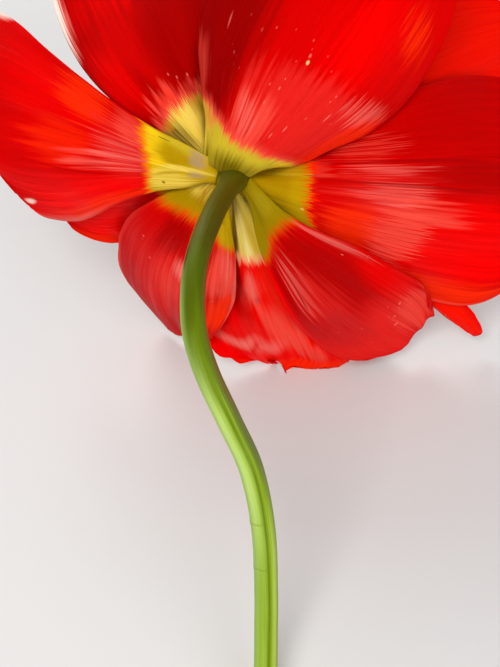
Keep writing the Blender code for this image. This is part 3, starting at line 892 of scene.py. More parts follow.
# Colours, linear
tint = {
    "red": (0.68, 0.0, 0.0, 1),
    "ruby": (0.46, 0.0, 0.0, 1),
    # painted shade where one petal lies over another
    "overlapShade": (0.26, 0.0, 0.0, 1),
    # deep red of the veins and streaks, also painted shade on a petal's darker parts
    "deepRedAndShade": (0.36, 0.0, 0.0, 1),
    # dark wine for the veins, also painted shade along creases and folds
    "wineAndCreaseShade": (0.20, 0.0, 0.001, 1),
    # painted light, the glow of a single petal lit from behind
    "backlitRed": (0.98, 0.0, 0.0, 1),
    "scarlet": (1.0, 0.008, 0.0, 1),
    "orange": (1.0, 0.026, 0.001, 1),
    "crimson": (0.46, 0.010, 0.014, 1),
    # painted sheen, a pinker red where the satin surface catches the light
    "roseSheen": (0.80, 0.018, 0.014, 1),
    # salmon, for the claws' borders and for painted sheen on ridges and streaks
    "salmonAndSheen": (0.92, 0.075, 0.050, 1),
    # painted sheen in pale streaks, also the colour of small specks
    "sheenAndSpecks": (0.95, 0.20, 0.16, 1),
    "peach": (1.0, 0.42, 0.22, 1),
    # painted highlight, where a margin or a curled tip catches the light
    "paintedLight": (1.0, 0.80, 0.68, 1),
    "amber": (1.0, 0.24, 0.0, 1),
    "sun": (1.0, 0.64, 0.01, 1),
    "gold": (0.60, 0.37, 0.003, 1),
    "ochre": (0.45, 0.255, 0.001, 1),
    "lemon": (0.92, 0.66, 0.09, 1),
    # cream, also painted highlight streaks on a claw
    "creamAndHighlight": (1.0, 0.84, 0.32, 1),
    "collar": (0.62, 0.46, 0.025, 1),
    "moss": (0.33, 0.22, 0.001, 1),
    # olive, also painted shade where the claws meet the stem and each other
    "oliveAndShade": (0.14, 0.10, 0.001, 1),
    "lilac": (0.44, 0.28, 0.20, 1),
    # painted shadow in the gaps between petals
    "shadowBrown": (0.10, 0.035, 0.001, 1),
    "ink": (0.012, 0.008, 0.012, 1),
}


def spot(name, across, along, wide, long, strength, slant=0.0, soft=0.5, fray=0.5, streaks=0.3,
         threads="middle"):
    # a patch of colour on a petal: its middle across and along, half its width and length
    return {"tint": name, "threads": threads, "values": {
        "Across": across, "Along": along, "Half Width": wide, "Half Length": long, "Strength": strength,
        "Slant": slant, "Soft": soft, "Fray": fray, "Streaks": streaks}}


# What each petal's back shows. Across is positive on its clockwise side, along runs from claw to tip.
# claw: how far the yellow reaches up the middle, the other side and the clockwise side, then its blur
# and fray.
# many spots are painted light and shade: backlit glow, shade at overlaps, creases and gaps, sheen,
# highlights
looks = {
    "outer_petal_left": {
        "base": "red", "claw": (0.215, 0.25, 0.215, 0.008, 0.035), "stain": "gold", "glow": "amber",
        "spots": [
            spot("backlitRed", 0.2, 0.55, 0.6, 0.2, 0.6),
            spot("orange", 0.62, 0.43, 0.36, 0.09, 0.9, fray=0.9),
            spot("orange", -0.1, 0.55, 0.25, 0.14, 0.5, fray=0.9),
            # painted sheen in pink and pale streaks
            spot("roseSheen", -0.05, 0.31, 0.6, 0.11, 0.8, soft=0.4, fray=0.8),
            spot("salmonAndSheen", 0.52, 0.265, 0.34, 0.05, 0.8, soft=0.6),
            spot("sheenAndSpecks", -0.13, 0.32, 0.3, 0.085, 0.5, fray=1.2, streaks=0.9),
            spot("sheenAndSpecks", -0.30, 0.42, 0.10, 0.12, 0.4, fray=1.2, streaks=0.9),
            spot("backlitRed", -0.72, 0.5, 0.25, 0.3, 0.9),
            # painted shade along a fold
            spot("wineAndCreaseShade", -0.45, 0.47, 0.010, 0.20, 0.55, slant=0.42, soft=0.8, fray=0.3, streaks=0.2),
            spot("orange", -0.93, 0.45, 0.10, 0.25, 0.7),
            # painted highlights on a margin and on the curled tip
            spot("paintedLight", -0.80, 0.875, 0.022, 0.03, 0.85, slant=-1.0, soft=0.8),
            spot("paintedLight", 1.0, 0.78, 0.07, 0.04, 1.0, soft=0.6),
            spot("sheenAndSpecks", -0.98, 0.72, 0.04, 0.2, 0.5, soft=0.8)],
        "clawSpots": [
            spot("sun", 0.35, 0.19, 0.75, 0.035, 0.9),
            spot("ochre", 0.36, 0.12, 0.36, 0.06, 0.9, soft=0.4),
            spot("collar", 0.85, 0.08, 0.3, 0.07, 0.8),
            spot("lemon", -0.66, 0.15, 0.34, 0.09, 0.9),
            spot("lemon", -0.08, 0.10, 0.13, 0.09, 0.9, slant=-2.2, soft=0.4, streaks=0.1),
            spot("ochre", -0.34, 0.15, 0.05, 0.05, 0.7, slant=-2.2),
            spot("lilac", 0.55, 0.055, 0.34, 0.022, 0.85, fray=0.8),
            spot("lilac", -0.22, 0.055, 0.17, 0.024, 0.65, slant=-1.5, soft=0.6),
            # painted shadows where this claw's edges meet its neighbours
            spot("shadowBrown", 0.82, 0.155, 0.018, 0.018, 0.9, soft=0.3, fray=0.1, streaks=0.0),
            spot("shadowBrown", -0.69, 0.18, 0.04, 0.006, 0.75, fray=0.2, streaks=0.0)],
    },
    "outer_petal_top": {
        "base": "red", "claw": (0.066, 0.130, 0.11, 0.012, 0.02), "stain": "collar", "glow": "salmonAndSheen",
        "spots": [
            spot("backlitRed", 0.42, 0.55, 0.36, 0.2, 0.85, soft=0.7),
            # painted shade where the upper left petal lies behind this one
            spot("overlapShade", -0.80, 0.36, 0.42, 0.36, 0.95, soft=0.4, fray=0.2, streaks=0.1),
            spot("deepRedAndShade", 0.80, 0.52, 0.22, 0.14, 0.25, soft=0.7),
            # painted sheen across the middle
            spot("roseSheen", 0.36, 0.22, 0.70, 0.145, 0.9, slant=1.0, soft=0.25, streaks=0.15),
            spot("salmonAndSheen", -0.16, 0.13, 0.22, 0.07, 0.8, fray=0.9, streaks=0.6),
            spot("sheenAndSpecks", -0.22, 0.14, 0.09, 0.05, 0.5, slant=-0.8, fray=1.0, streaks=0.8),
            spot("sheenAndSpecks", 0.76, 0.36, 0.13, 0.055, 0.6, slant=1.0, fray=1.4, streaks=0.9, threads="fine"),
            spot("orange", 0.92, 0.24, 0.12, 0.14, 0.8),
            spot("orange", 0.70, 0.69, 0.13, 0.07, 0.9, fray=1.2, streaks=0.8, threads="fine"),
            spot("salmonAndSheen", -0.97, 0.22, 0.10, 0.08, 0.5, fray=0.8, streaks=0.5),
            spot("creamAndHighlight", 0.06, 0.37, 0.011, 0.006, 0.8, soft=0.6, fray=0.6),
            spot("sheenAndSpecks", 0.045, 0.39, 0.009, 0.006, 0.7, soft=0.6, fray=0.6),
            spot("sheenAndSpecks", 0.17, 0.13, 0.009, 0.010, 0.8, fray=0.6),
            spot("sheenAndSpecks", 0.26, 0.17, 0.007, 0.010, 0.8, fray=0.6),
            spot("sheenAndSpecks", 0.52, 0.27, 0.007, 0.018, 0.7, fray=0.6),
            spot("sheenAndSpecks", -0.70, 0.37, 0.007, 0.022, 0.5, soft=0.6, fray=0.6)],
        "clawSpots": [
            spot("lemon", -0.9, 0.10, 0.2, 0.06, 0.6),
            spot("lemon", 0.75, 0.10, 0.3, 0.03, 0.6),
            spot("sun", 0.84, 0.085, 0.22, 0.03, 0.6),
            spot("salmonAndSheen", -0.76, 0.105, 0.13, 0.03, 0.6, fray=0.9),
            # painted shade just above the stem
            spot("oliveAndShade", -0.05, 0.01, 0.6, 0.025, 1.0, soft=0.8, streaks=0.0)],
        "flecks": spot("sheenAndSpecks", 0.05, 0.31, 0.5, 0.12, 0.8, soft=0.7),
    },
    "outer_petal_lower_right": {
        "base": "red", "claw": (0.165, 0.185, 0.245, 0.028, 0.05), "stain": "moss", "glow": "orange",
        "spots": [
            spot("deepRedAndShade", -0.06, 0.42, 0.60, 0.25, 0.7, soft=0.45, streaks=0.1),
            spot("backlitRed", -0.65, 0.66, 0.3, 0.16, 0.6),
            spot("sheenAndSpecks", -0.84, 0.34, 0.11, 0.16, 0.6, soft=0.6, fray=0.8, streaks=0.5),
            spot("sheenAndSpecks", 0.60, 0.42, 0.14, 0.13, 0.6, slant=0.4, fray=1.2, streaks=0.9),
            spot("roseSheen", 0.40, 0.55, 0.25, 0.18, 0.7, fray=0.9, streaks=0.5),
            # painted shade along fine folds
            spot("wineAndCreaseShade", 0.65, 0.43, 0.010, 0.085, 0.9, slant=0.45, fray=0.2, streaks=0.0),
            spot("wineAndCreaseShade", 0.84, 0.42, 0.05, 0.16, 0.5, soft=0.8),
            spot("backlitRed", 0.99, 0.45, 0.05, 0.35, 0.9),
            spot("roseSheen", 0.25, 0.86, 0.8, 0.16, 0.85, fray=0.3, streaks=0.1),
            spot("crimson", 0.55, 0.72, 0.4, 0.12, 0.5),
            spot("salmonAndSheen", -0.45, 0.90, 0.45, 0.09, 0.6),
            spot("sheenAndSpecks", -0.34, 0.80, 0.028, 0.005, 0.8, fray=0.8),
            spot("sheenAndSpecks", -0.09, 0.83, 0.026, 0.005, 0.7, fray=0.8),
            spot("sheenAndSpecks", 0.01, 0.87, 0.030, 0.005, 0.7, fray=0.8),
            spot("sheenAndSpecks", -0.59, 0.43, 0.018, 0.006, 0.7, fray=0.6)],
        "clawSpots": [
            spot("collar", -0.2, 0.07, 0.6, 0.05, 0.2),
            spot("oliveAndShade", 0.45, 0.10, 0.14, 0.09, 0.45, soft=0.8),
            spot("moss", 0.0, 0.15, 0.9, 0.04, 0.8)],
        "flecks": spot("sheenAndSpecks", 0.1, 0.8, 0.7, 0.15, 0.4, soft=0.7),
    },
    "outer_petal_lower_left": {
        "base": "red", "claw": (0.13, 0.235, 0.175, 0.035, 0.04), "stain": "ochre", "glow": "orange",
        "spots": [
            spot("deepRedAndShade", 0.25, 0.25, 0.5, 0.10, 0.9, soft=0.6, streaks=0.1),
            spot("crimson", 0.3, 0.74, 0.8, 0.28, 0.8),
            spot("red", 0.72, 0.34, 0.3, 0.16, 0.9),
            spot("roseSheen", 0.10, 0.55, 0.38, 0.2, 0.75, soft=0.6),
            spot("salmonAndSheen", 0.0, 0.5, 0.16, 0.12, 0.5, soft=0.7),
            spot("sheenAndSpecks", -0.13, 0.39, 0.09, 0.05, 0.9, soft=0.7, fray=0.7, streaks=0.4),
            spot("salmonAndSheen", -0.80, 0.39, 0.22, 0.19, 0.95, soft=0.35),
            spot("sheenAndSpecks", -0.86, 0.33, 0.08, 0.1, 0.4, streaks=0.7),
            spot("orange", -0.80, 0.72, 0.24, 0.15, 0.9),
            spot("sheenAndSpecks", -1.0, 0.55, 0.035, 0.3, 0.7, soft=0.8),
            spot("salmonAndSheen", 1.0, 0.65, 0.05, 0.4, 0.7, soft=0.8),
            spot("sheenAndSpecks", 0.62, 0.35, 0.02, 0.006, 0.5),
            spot("sheenAndSpecks", 0.36, 0.42, 0.02, 0.006, 0.5)],
        "clawSpots": [
            spot("lemon", 0.55, 0.03, 0.55, 0.035, 0.75, soft=0.6),
            spot("moss", 0.55, 0.11, 0.35, 0.04, 0.45),
            spot("gold", -0.9, 0.14, 0.3, 0.1, 0.9)],
    },
    "inner_petal_upper_left": {
        "base": "ruby", "claw": (0.20, 0.165, 0.16, 0.012, 0.06), "stain": "lemon", "glow": "salmonAndSheen",
        "spots": [
            spot("red", -0.50, 0.44, 0.26, 0.20, 0.8, soft=0.6),
            spot("backlitRed", -0.80, 0.38, 0.14, 0.14, 0.6, soft=0.6),
            spot("backlitRed", -0.2, 0.68, 0.5, 0.09, 0.6, soft=0.6),
            spot("deepRedAndShade", 0.22, 0.38, 0.52, 0.19, 0.95, soft=0.35, fray=0.2, streaks=0.1),
            spot("deepRedAndShade", -0.50, 0.28, 0.08, 0.10, 0.7, slant=-0.4, soft=0.7),
            spot("salmonAndSheen", -0.42, 0.225, 0.2, 0.05, 0.9, fray=1.2, streaks=0.6),
            spot("orange", -0.42, 0.235, 0.14, 0.03, 0.5, fray=1.0, streaks=0.6),
            spot("salmonAndSheen", 0.1, 0.22, 0.25, 0.035, 0.5, fray=1.2, streaks=0.7),
            # painted sheen and painted highlight where the margin rolls toward the light
            spot("sheenAndSpecks", -0.955, 0.75, 0.07, 0.13, 0.9, fray=1.0, threads="fine"),
            spot("paintedLight", -1.01, 0.76, 0.075, 0.17, 1.0, soft=0.35, fray=0.6, streaks=0.0, threads="fine"),
            spot("sheenAndSpecks", -0.12, 0.28, 0.008, 0.005, 0.7),
            spot("sheenAndSpecks", -0.20, 0.30, 0.008, 0.005, 0.7),
            spot("sheenAndSpecks", 0.02, 0.275, 0.008, 0.005, 0.7)],
        "clawSpots": [
            spot("ochre", 0.05, 0.19, 0.2, 0.05, 0.8),
            spot("creamAndHighlight", -0.22, 0.15, 0.12, 0.045, 0.15, fray=0.8),
            # painted shadow between the left petal's upper edge and this claw
            spot("shadowBrown", -0.72, 0.13, 0.22, 0.09, 0.9, slant=-1.0, soft=0.6),
            spot("gold", -0.72, 0.175, 0.14, 0.015, 0.7, fray=1.2),
            spot("collar", 0.2, 0.08, 0.4, 0.06, 0.6)],
    },
    "inner_petal_right": {
        "base": "red", "claw": (0.172, 0.14, 0.25, 0.006, 0.05), "stain": "ochre", "glow": "orange",
        "spots": [
            # painted shade over the upper part and along a darker band
            spot("deepRedAndShade", -0.75, 0.50, 0.45, 0.45, 0.45),
            spot("deepRedAndShade", -0.22, 0.74, 0.16, 0.24, 0.8, soft=0.6),
            spot("backlitRed", 0.42, 0.72, 0.4, 0.3, 0.95),
            spot("roseSheen", 0.05, 0.42, 0.28, 0.17, 0.75, fray=1.0, streaks=0.4),
            spot("orange", 0.42, 0.33, 0.28, 0.09, 0.95),
            spot("salmonAndSheen", 0.38, 0.485, 0.26, 0.085, 0.85, soft=0.3, fray=1.3, threads="fine"),
            spot("salmonAndSheen", -0.50, 0.33, 0.11, 0.075, 0.5, fray=1.5, streaks=1.0, threads="fine"),
            spot("sheenAndSpecks", -0.27, 0.42, 0.05, 0.11, 0.45, fray=1.5, streaks=0.9, threads="fine"),
            spot("sheenAndSpecks", -0.02, 0.43, 0.10, 0.10, 0.45, fray=1.2, streaks=0.7, threads="fine"),
            spot("salmonAndSheen", 0.12, 0.52, 0.10, 0.13, 0.8, fray=1.2, streaks=0.6),
            # painted shade along the pleats
            spot("wineAndCreaseShade", -0.13, 0.45, 0.018, 0.25, 0.6, slant=0.1, soft=0.7),
            spot("wineAndCreaseShade", -0.36, 0.38, 0.02, 0.2, 0.5, soft=0.7),
            spot("salmonAndSheen", -0.30, 0.20, 0.10, 0.04, 0.4, fray=1.0),
            spot("orange", 0.90, 0.72, 0.16, 0.25, 0.85),
            spot("salmonAndSheen", 1.0, 0.75, 0.03, 0.3, 0.5)],
        "clawSpots": [
            spot("gold", 0.0, 0.15, 0.9, 0.03, 0.5),
            # painted shadow in the gap beside the lower right petal
            spot("oliveAndShade", 0.75, 0.08, 0.35, 0.07, 0.7, soft=0.8),
            spot("collar", -0.4, 0.1, 0.2, 0.06, 0.5),
            spot("lemon", 0.40, 0.165, 0.02, 0.006, 0.7)],
    },
    "inner_petal_bottom": {
        "base": "backlitRed", "claw": (0.252, 0.2, 0.235, 0.014, 0.06), "stain": "lemon", "glow": "peach",
        "spots": [
            spot("scarlet", 0.0, 0.5, 0.3, 0.3, 0.8),
            spot("salmonAndSheen", 0.26, 0.42, 0.10, 0.10, 0.85, slant=0.4, fray=0.9),
            spot("scarlet", 0.05, 0.60, 0.14, 0.10, 0.8),
            spot("salmonAndSheen", 0.03, 0.78, 0.08, 0.10, 0.7, fray=0.7),
            spot("sheenAndSpecks", 0.28, 0.40, 0.06, 0.08, 0.6, slant=0.4, streaks=0.6),
            spot("salmonAndSheen", 0.14, 0.68, 0.13, 0.16, 0.9, slant=-0.3),
            spot("roseSheen", 0.42, 0.72, 0.14, 0.12, 0.6),
            spot("deepRedAndShade", 0.42, 0.50, 0.09, 0.12, 0.6, soft=0.7),
            spot("deepRedAndShade", 0.40, 0.33, 0.05, 0.10, 0.9, soft=0.6, streaks=0.0),
            spot("sheenAndSpecks", 0.66, 0.74, 0.22, 0.035, 0.85, soft=0.8, fray=0.2),
            spot("sheenAndSpecks", 0.36, 0.82, 0.12, 0.06, 0.7, slant=1.0, soft=0.8, fray=0.3),
            spot("backlitRed", 0.6, 0.93, 0.4, 0.09, 0.9),
            spot("salmonAndSheen", -0.08, 0.88, 0.1, 0.07, 0.7),
            spot("orange", 0.1, 0.97, 0.9, 0.04, 0.7)],
        "clawSpots": [
            # painted highlight streaks on the claw
            spot("creamAndHighlight", 0.20, 0.13, 0.14, 0.12, 0.45),
            spot("creamAndHighlight", 0.17, 0.24, 0.09, 0.06, 0.9, fray=1.0),
            spot("gold", 0.05, 0.17, 0.06, 0.12, 0.7),
            # painted shadow along the gap beside the lower left petal
            spot("shadowBrown", 0.36, 0.14, 0.05, 0.16, 0.95, soft=0.6, streaks=0.0),
            spot("gold", 0.6, 0.1, 0.2, 0.1, 0.8)],
    },
    "inner_petal_left": {
        "base": "red", "claw": (0.24, 0.2, 0.2, 0.03, 0.05), "stain": "gold", "glow": "orange",
        "spots": [
            spot("backlitRed", -0.4, 0.7, 0.5, 0.3, 0.9),
            spot("orange", -0.95, 0.7, 0.12, 0.3, 0.6),
            spot("deepRedAndShade", 0.2, 0.5, 0.3, 0.2, 0.5)],
        "clawSpots": [spot("moss", 0.0, 0.1, 0.8, 0.1, 0.6)],
    },
    "innermost_petal_upper_right": {
        # a base of painted backlit glow
        "base": "backlitRed", "claw": (0.16, 0.12, 0.12, 0.02, 0.05), "stain": "ochre", "glow": "orange",
        "spots": [
            spot("scarlet", -0.3, 0.75, 0.7, 0.3, 0.8),
            spot("orange", -0.95, 0.7, 0.1, 0.3, 0.6),
            spot("deepRedAndShade", 0.4, 0.5, 0.5, 0.25, 0.4)],
        "clawSpots": [spot("moss", 0.0, 0.06, 0.8, 0.06, 0.6)],
    },
    "innermost_petal_lower_right": {
        # a base of painted backlit glow
        "base": "backlitRed", "claw": (0.2, 0.16, 0.16, 0.02, 0.05), "stain": "ochre", "glow": "orange",
        "spots": [
            spot("scarlet", 0.0, 0.8, 0.9, 0.3, 0.9),
            spot("orange", 0.7, 0.85, 0.3, 0.2, 0.7)],
        "clawSpots": [spot("moss", 0.0, 0.08, 0.8, 0.08, 0.6)],
    },
}


# What both sides of every petal share. threads: number across, breaks along, shift of the seed.
petalOutside = {
    "threads": {"fine": (150.0, 5.0, 0.1), "middle": (46.0, 2.6, 0.3), "broad": (7.0, 2.2, 0.5)},
    "broadDark": 0.3,                  # strength of the broad dark streaks
    "veins": (0.55, 0.95, 0.0, 0.14),  # fine threads that show as veins, and how strongly
    "glow": (0.016, 0.85),             # how far past the claw its glow reaches, and its strength
    "clawStreaks": 0.18,
    "roughness": (0.45, 0.62),
}
petalInside = {
    "threads": {"fine": (150.0, 4.0, 2.1), "middle": (40.0, 2.5, 2.3), "broad": (7.0, 2.0, 2.5)},
    "broadDark": 0.7,
    "veins": (0.5, 0.95, 0.0, 0.35),
    # painted pink sheen, and a darker band
    "spots": [spot("roseSheen", 0.0, 0.72, 0.8, 0.22, 0.4, soft=0.7, fray=0.9, streaks=0.8),
              spot("deepRedAndShade", 0.0, 0.45, 0.5, 0.15, 0.5, soft=0.8)],
    "blotch": ((0.35, "sun"), (0.30, "gold"), (0.265, "ink")),   # how far up the middle each colour reaches
    "blotchSides": 0.12,               # how much less far it reaches at the sides
    "blotchEdge": (0.02, 0.08),        # blur and fray
    "roughness": (0.36, 0.54),
}
petalRelief = {"bump": 0.3, "fine": 0.5}     # strength, and share of the fine threads in it
# a faint satin gloss, and soft light through the flesh
petalFinish = {
    "Specular IOR Level": 0.08, "Specular Tint": (1.0, 0.08, 0.05, 1),
    "Subsurface Weight": 0.12, "Subsurface Radius": (1.0, 0.2, 0.1), "Subsurface Scale": 0.0012,
}


def patchMask(tree, surface, fibre, patch):
    return useGroup(tree, frayedPatch, surface, dict(patch["values"], Fibre=fibre[patch["threads"]]))


def overlaid(tree, surface, fibre, colour, patches):
    # patches laid over a colour one after another
    for patch in patches:
        colour = blendColour(tree, patchMask(tree, surface, fibre, patch), colour, tint[patch["tint"]])
    return colour


def clawMask(tree, surface, fibre, reach, further=0.0):
    middle, left, right, soft, fray = reach
    return useGroup(tree, clawStain, surface, {
        "Middle": middle + further, "Left": left + further, "Right": right + further,
        "Soft": soft + clawEdge["blur"] * further, "Fray": fray, "Fibre": fibre})


def petalMaterial(name, side, seed):
    # a petal's gloss, depth and raised veins; with its surface and the threads along it
    made, tree, shader = newMaterial(name)
    surface = tree.nodes.new("ShaderNodeUVMap")
    surface.uv_map = "petalUv"
    surface = surface.outputs[0]
    fibre = {}
    for kind, (count, breaks, shift) in side["threads"].items():
        values = {"Threads": count, "Breaks": breaks, "Seed": seed + shift}
        fibre[kind] = useGroup(tree, fibres, surface, values)
    setInputs(shader, petalFinish)
    feed(tree, remap(tree, fibre["middle"], 0.0, 1.0, *side["roughness"]), shader.inputs["Roughness"])
    veins = calc(tree, "MULTIPLY_ADD", fibre["fine"], petalRelief["fine"], fibre["middle"])
    addBump(tree, shader, petalRelief["bump"], veins)
    return made, tree, shader, surface, fibre


def petalBack(p, seed):
    # the side that the stem joins: red, streaked along the veins, yellow at the claw, with painted light and
    # shade
    made, tree, shader, surface, fibre = petalMaterial(p["name"] + "_back", petalOutside, seed)
    look = looks[p["name"]]
    colour = laid(tree, tint[look["base"]], tint["deepRedAndShade"], fibre["broad"], petalOutside["broadDark"])
    colour = overlaid(tree, surface, fibre, colour, look["spots"])
    if "flecks" in look:
        near = patchMask(tree, surface, fibre, look["flecks"])
        dots = useGroup(tree, flecks, surface, {"Seed": seed})
        colour = laid(tree, colour, tint[look["flecks"]["tint"]], near, dots)
    colour = blendColour(tree, remap(tree, fibre["fine"], *petalOutside["veins"]), colour, tint["deepRedAndShade"])
    further, strength = petalOutside["glow"]
    glow = clawMask(tree, surface, fibre["middle"], look["claw"], further)
    colour = laid(tree, colour, tint[look["glow"]], glow, strength)
    stain = overlaid(tree, surface, fibre, tint[look["stain"]], look["clawSpots"])
    stain = laid(tree, stain, tint["moss"], fibre["middle"], petalOutside["clawStreaks"])
    colour = blendColour(tree, clawMask(tree, surface, fibre["fine"], look["claw"]), colour, stain)
    feed(tree, colour, shader.inputs["Base Color"])
    return made


def petalFace(p, seed):
    # the side that looks into the bloom: satin red with painted sheen round a dark blotch edged with yellow
    made, tree, shader, surface, fibre = petalMaterial(p["name"] + "_face", petalInside, seed)
    colour = laid(tree, tint["red"], tint["deepRedAndShade"], fibre["broad"], petalInside["broadDark"])
    colour = blendColour(tree, remap(tree, fibre["fine"], *petalInside["veins"]), colour, tint["wineAndCreaseShade"])
    colour = overlaid(tree, surface, fibre, colour, petalInside["spots"])
    for reach, name in petalInside["blotch"]:
        atSides = reach - petalInside["blotchSides"]
        reaches = (reach, atSides, atSides) + petalInside["blotchEdge"]
        colour = blendColour(tree, clawMask(tree, surface, fibre["middle"], reaches), colour, tint[name])
    feed(tree, colour, shader.inputs["Base Color"])
    return made


def makePetals():
    skins = {}
    trees = []
    for number, p in enumerate(petals):
        rows, cols = 2 * bloom["formRows"], 2 * bloom["formCols"]
        points = petalPoints(p, rows, cols)
        lift = liftClear(points, trees)
        points[..., 2] += lift
        trees.append(formTree(restOnSurface(points, 0.5 * bloom["petalThick"])[::2, ::2]))
        colourSeed = bloom["colourSeeds"] * number
        materials = [petalBack(p, colourSeed), petalFace(p, colourSeed)]
        first, step = bloom["shapeSeeds"]
        skins[p["name"]] = skinPoints(p, lift, first + step * number)
        piece = petalPiece(p, skins[p["name"]], materials)
        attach(piece, "root")
        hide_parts(p["name"])
    return skins


skins = makePetals()
print("stage: petals made")

# water on the petals' backs: petal, place across and along, radius in mm
drops = {
    "beads": [
        ("inner_petal_bottom", 0.26, 0.47, 0.7), ("inner_petal_bottom", 0.24, 0.60, 0.35),
        ("outer_petal_lower_left", -0.69, 0.60, 0.65), ("outer_petal_lower_left", -0.72, 0.10, 0.3),
        ("outer_petal_lower_left", 0.60, 0.37, 0.35), ("outer_petal_lower_left", -0.93, 0.70, 0.35),
        ("outer_petal_lower_right", -0.90, 0.53, 0.6), ("outer_petal_lower_right", -0.28, 0.805, 0.45),
        ("outer_petal_lower_right", -0.03, 0.835, 0.35), ("inner_petal_right", 0.40, 0.165, 0.4),
    ],
    "flat": 0.6,          # height as a share of the breadth
    "sink": 0.3,          # share of the height inside the petal
    "segments": (20, 14),
    "finish": {"Base Color": (1.0, 1.0, 1.0, 1), "Roughness": 0.02, "IOR": 1.33, "Transmission Weight": 1.0},
}


def makeDrops():
    bm = bmesh.new()
    rows, cols = petalSkin["rows"], petalSkin["cols"]
    around, rings = drops["segments"]
    for name, across, along, radius in drops["beads"]:
        points = skins[name]
        i, j = round(along * rows), round((across + 1.0) / 2.0 * cols)
        sideways = points[i, min(j + 1, cols)] - points[i, j - 1]
        normal = np.cross(points[i + 1, j] - points[i - 1, j], sideways)
        normal *= -np.sign(normal[2]) / np.linalg.norm(normal)
        height = radius * drops["flat"]
        clear = 0.5 * petalSkin["thickMiddle"] + height * (1.0 - 2.0 * drops["sink"])
        middle = points[i, j] + normal * clear
        turn = Vector(normal).to_track_quat("Z", "Y").to_matrix().to_4x4()
        size = Matrix.Diagonal((1.0, 1.0, drops["flat"], 1.0))
        place = bloomMatrix() @ Matrix.Translation(Vector(middle)) @ turn @ size
        bmesh.ops.create_uvsphere(bm, u_segments=around, v_segments=rings, radius=radius, matrix=place)
    water, _, shader = newMaterial("water")
    setInputs(shader, drops["finish"])
    piece = newPiece("waterDrops", bm, [water])
    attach(piece, "root")


makeDrops()
print("stage: drops made")


def rampColour(tree, value, stops):
    # a run of colours along a value
    node = tree.nodes.new("ShaderNodeValToRGB")
    ramp = node.color_ramp
    ramp.interpolation = "EASE"
    ramp.elements[0].position, ramp.elements[0].color = stops[0]
    ramp.elements[1].position, ramp.elements[1].color = stops[-1]
    for place, colour in stops[1:-1]:
        ramp.elements.new(place).color = colour
    feed(tree, value, node.inputs[0])
    return node.outputs[0]


def band(tree, value, middle, breadth):
    # 1 on a line of equal value, fading to 0 on both sides
    away = calc(tree, "ABSOLUTE", calc(tree, "SUBTRACT", value, middle))
    return remap(tree, away, 0.0, breadth, 1.0, 0.0)


def between(tree, value, low, high, soft):
    up = remap(tree, value, low - soft, low + soft)
    return times(tree, up, remap(tree, value, high - soft, high + soft, 1.0, 0.0))


def tubeSurface(tree):
    # round the tube as two seamless axes, and along it
    surface = tree.nodes.new("ShaderNodeUVMap")
    surface.uv_map = "tubeUv"
    around, along = separated(tree, surface.outputs[0])
    turn = times(tree, around, 2.0 * math.pi)
    return calc(tree, "COSINE", turn), calc(tree, "SINE", turn), along


def tubeFibres(tree, surface, threads, breaks, seed, detail=2.0):
    # threads that run along a tube
    across, front, along = surface
    along = calc(tree, "MULTIPLY_ADD", along, breaks, seed)
    place = joined(tree, times(tree, across, threads), times(tree, front, threads), along)
    return remap(tree, noiseAt(tree, place, detail=detail), *threadRange["tube"])


green = {
    # olive, partly painted shade of the petals over the stem's top
    "oliveAndShade": (0.072, 0.066, 0.0005, 1),
    "moss": (0.075, 0.105, 0.001, 1),
    "leaf": (0.125, 0.19, 0.002, 1),
    "fresh": (0.26, 0.40, 0.012, 1),
    # pale green, painted light on the stem, also the wet patches of the cut
    "light": (0.62, 0.82, 0.22, 1),
    "lime": (0.52, 0.66, 0.10, 1),
    # painted light along the stem's left edge
    "litEdgeGreen": (0.34, 0.52, 0.10, 1),
    # darker green: painted shade in the groove, also the dark lines of the ring marks
    "grooveShadeAndMarks": (0.12, 0.19, 0.002, 1),
    "blush": (0.12, 0.14, 0.03, 1),
    "tan": (0.42, 0.27, 0.05, 1),
    "rust": (0.26, 0.11, 0.01, 1),
    "bark": (0.035, 0.02, 0.002, 1),
    "cut": (0.62, 0.68, 0.34, 1),
    "fibre": (0.36, 0.44, 0.14, 1),
}

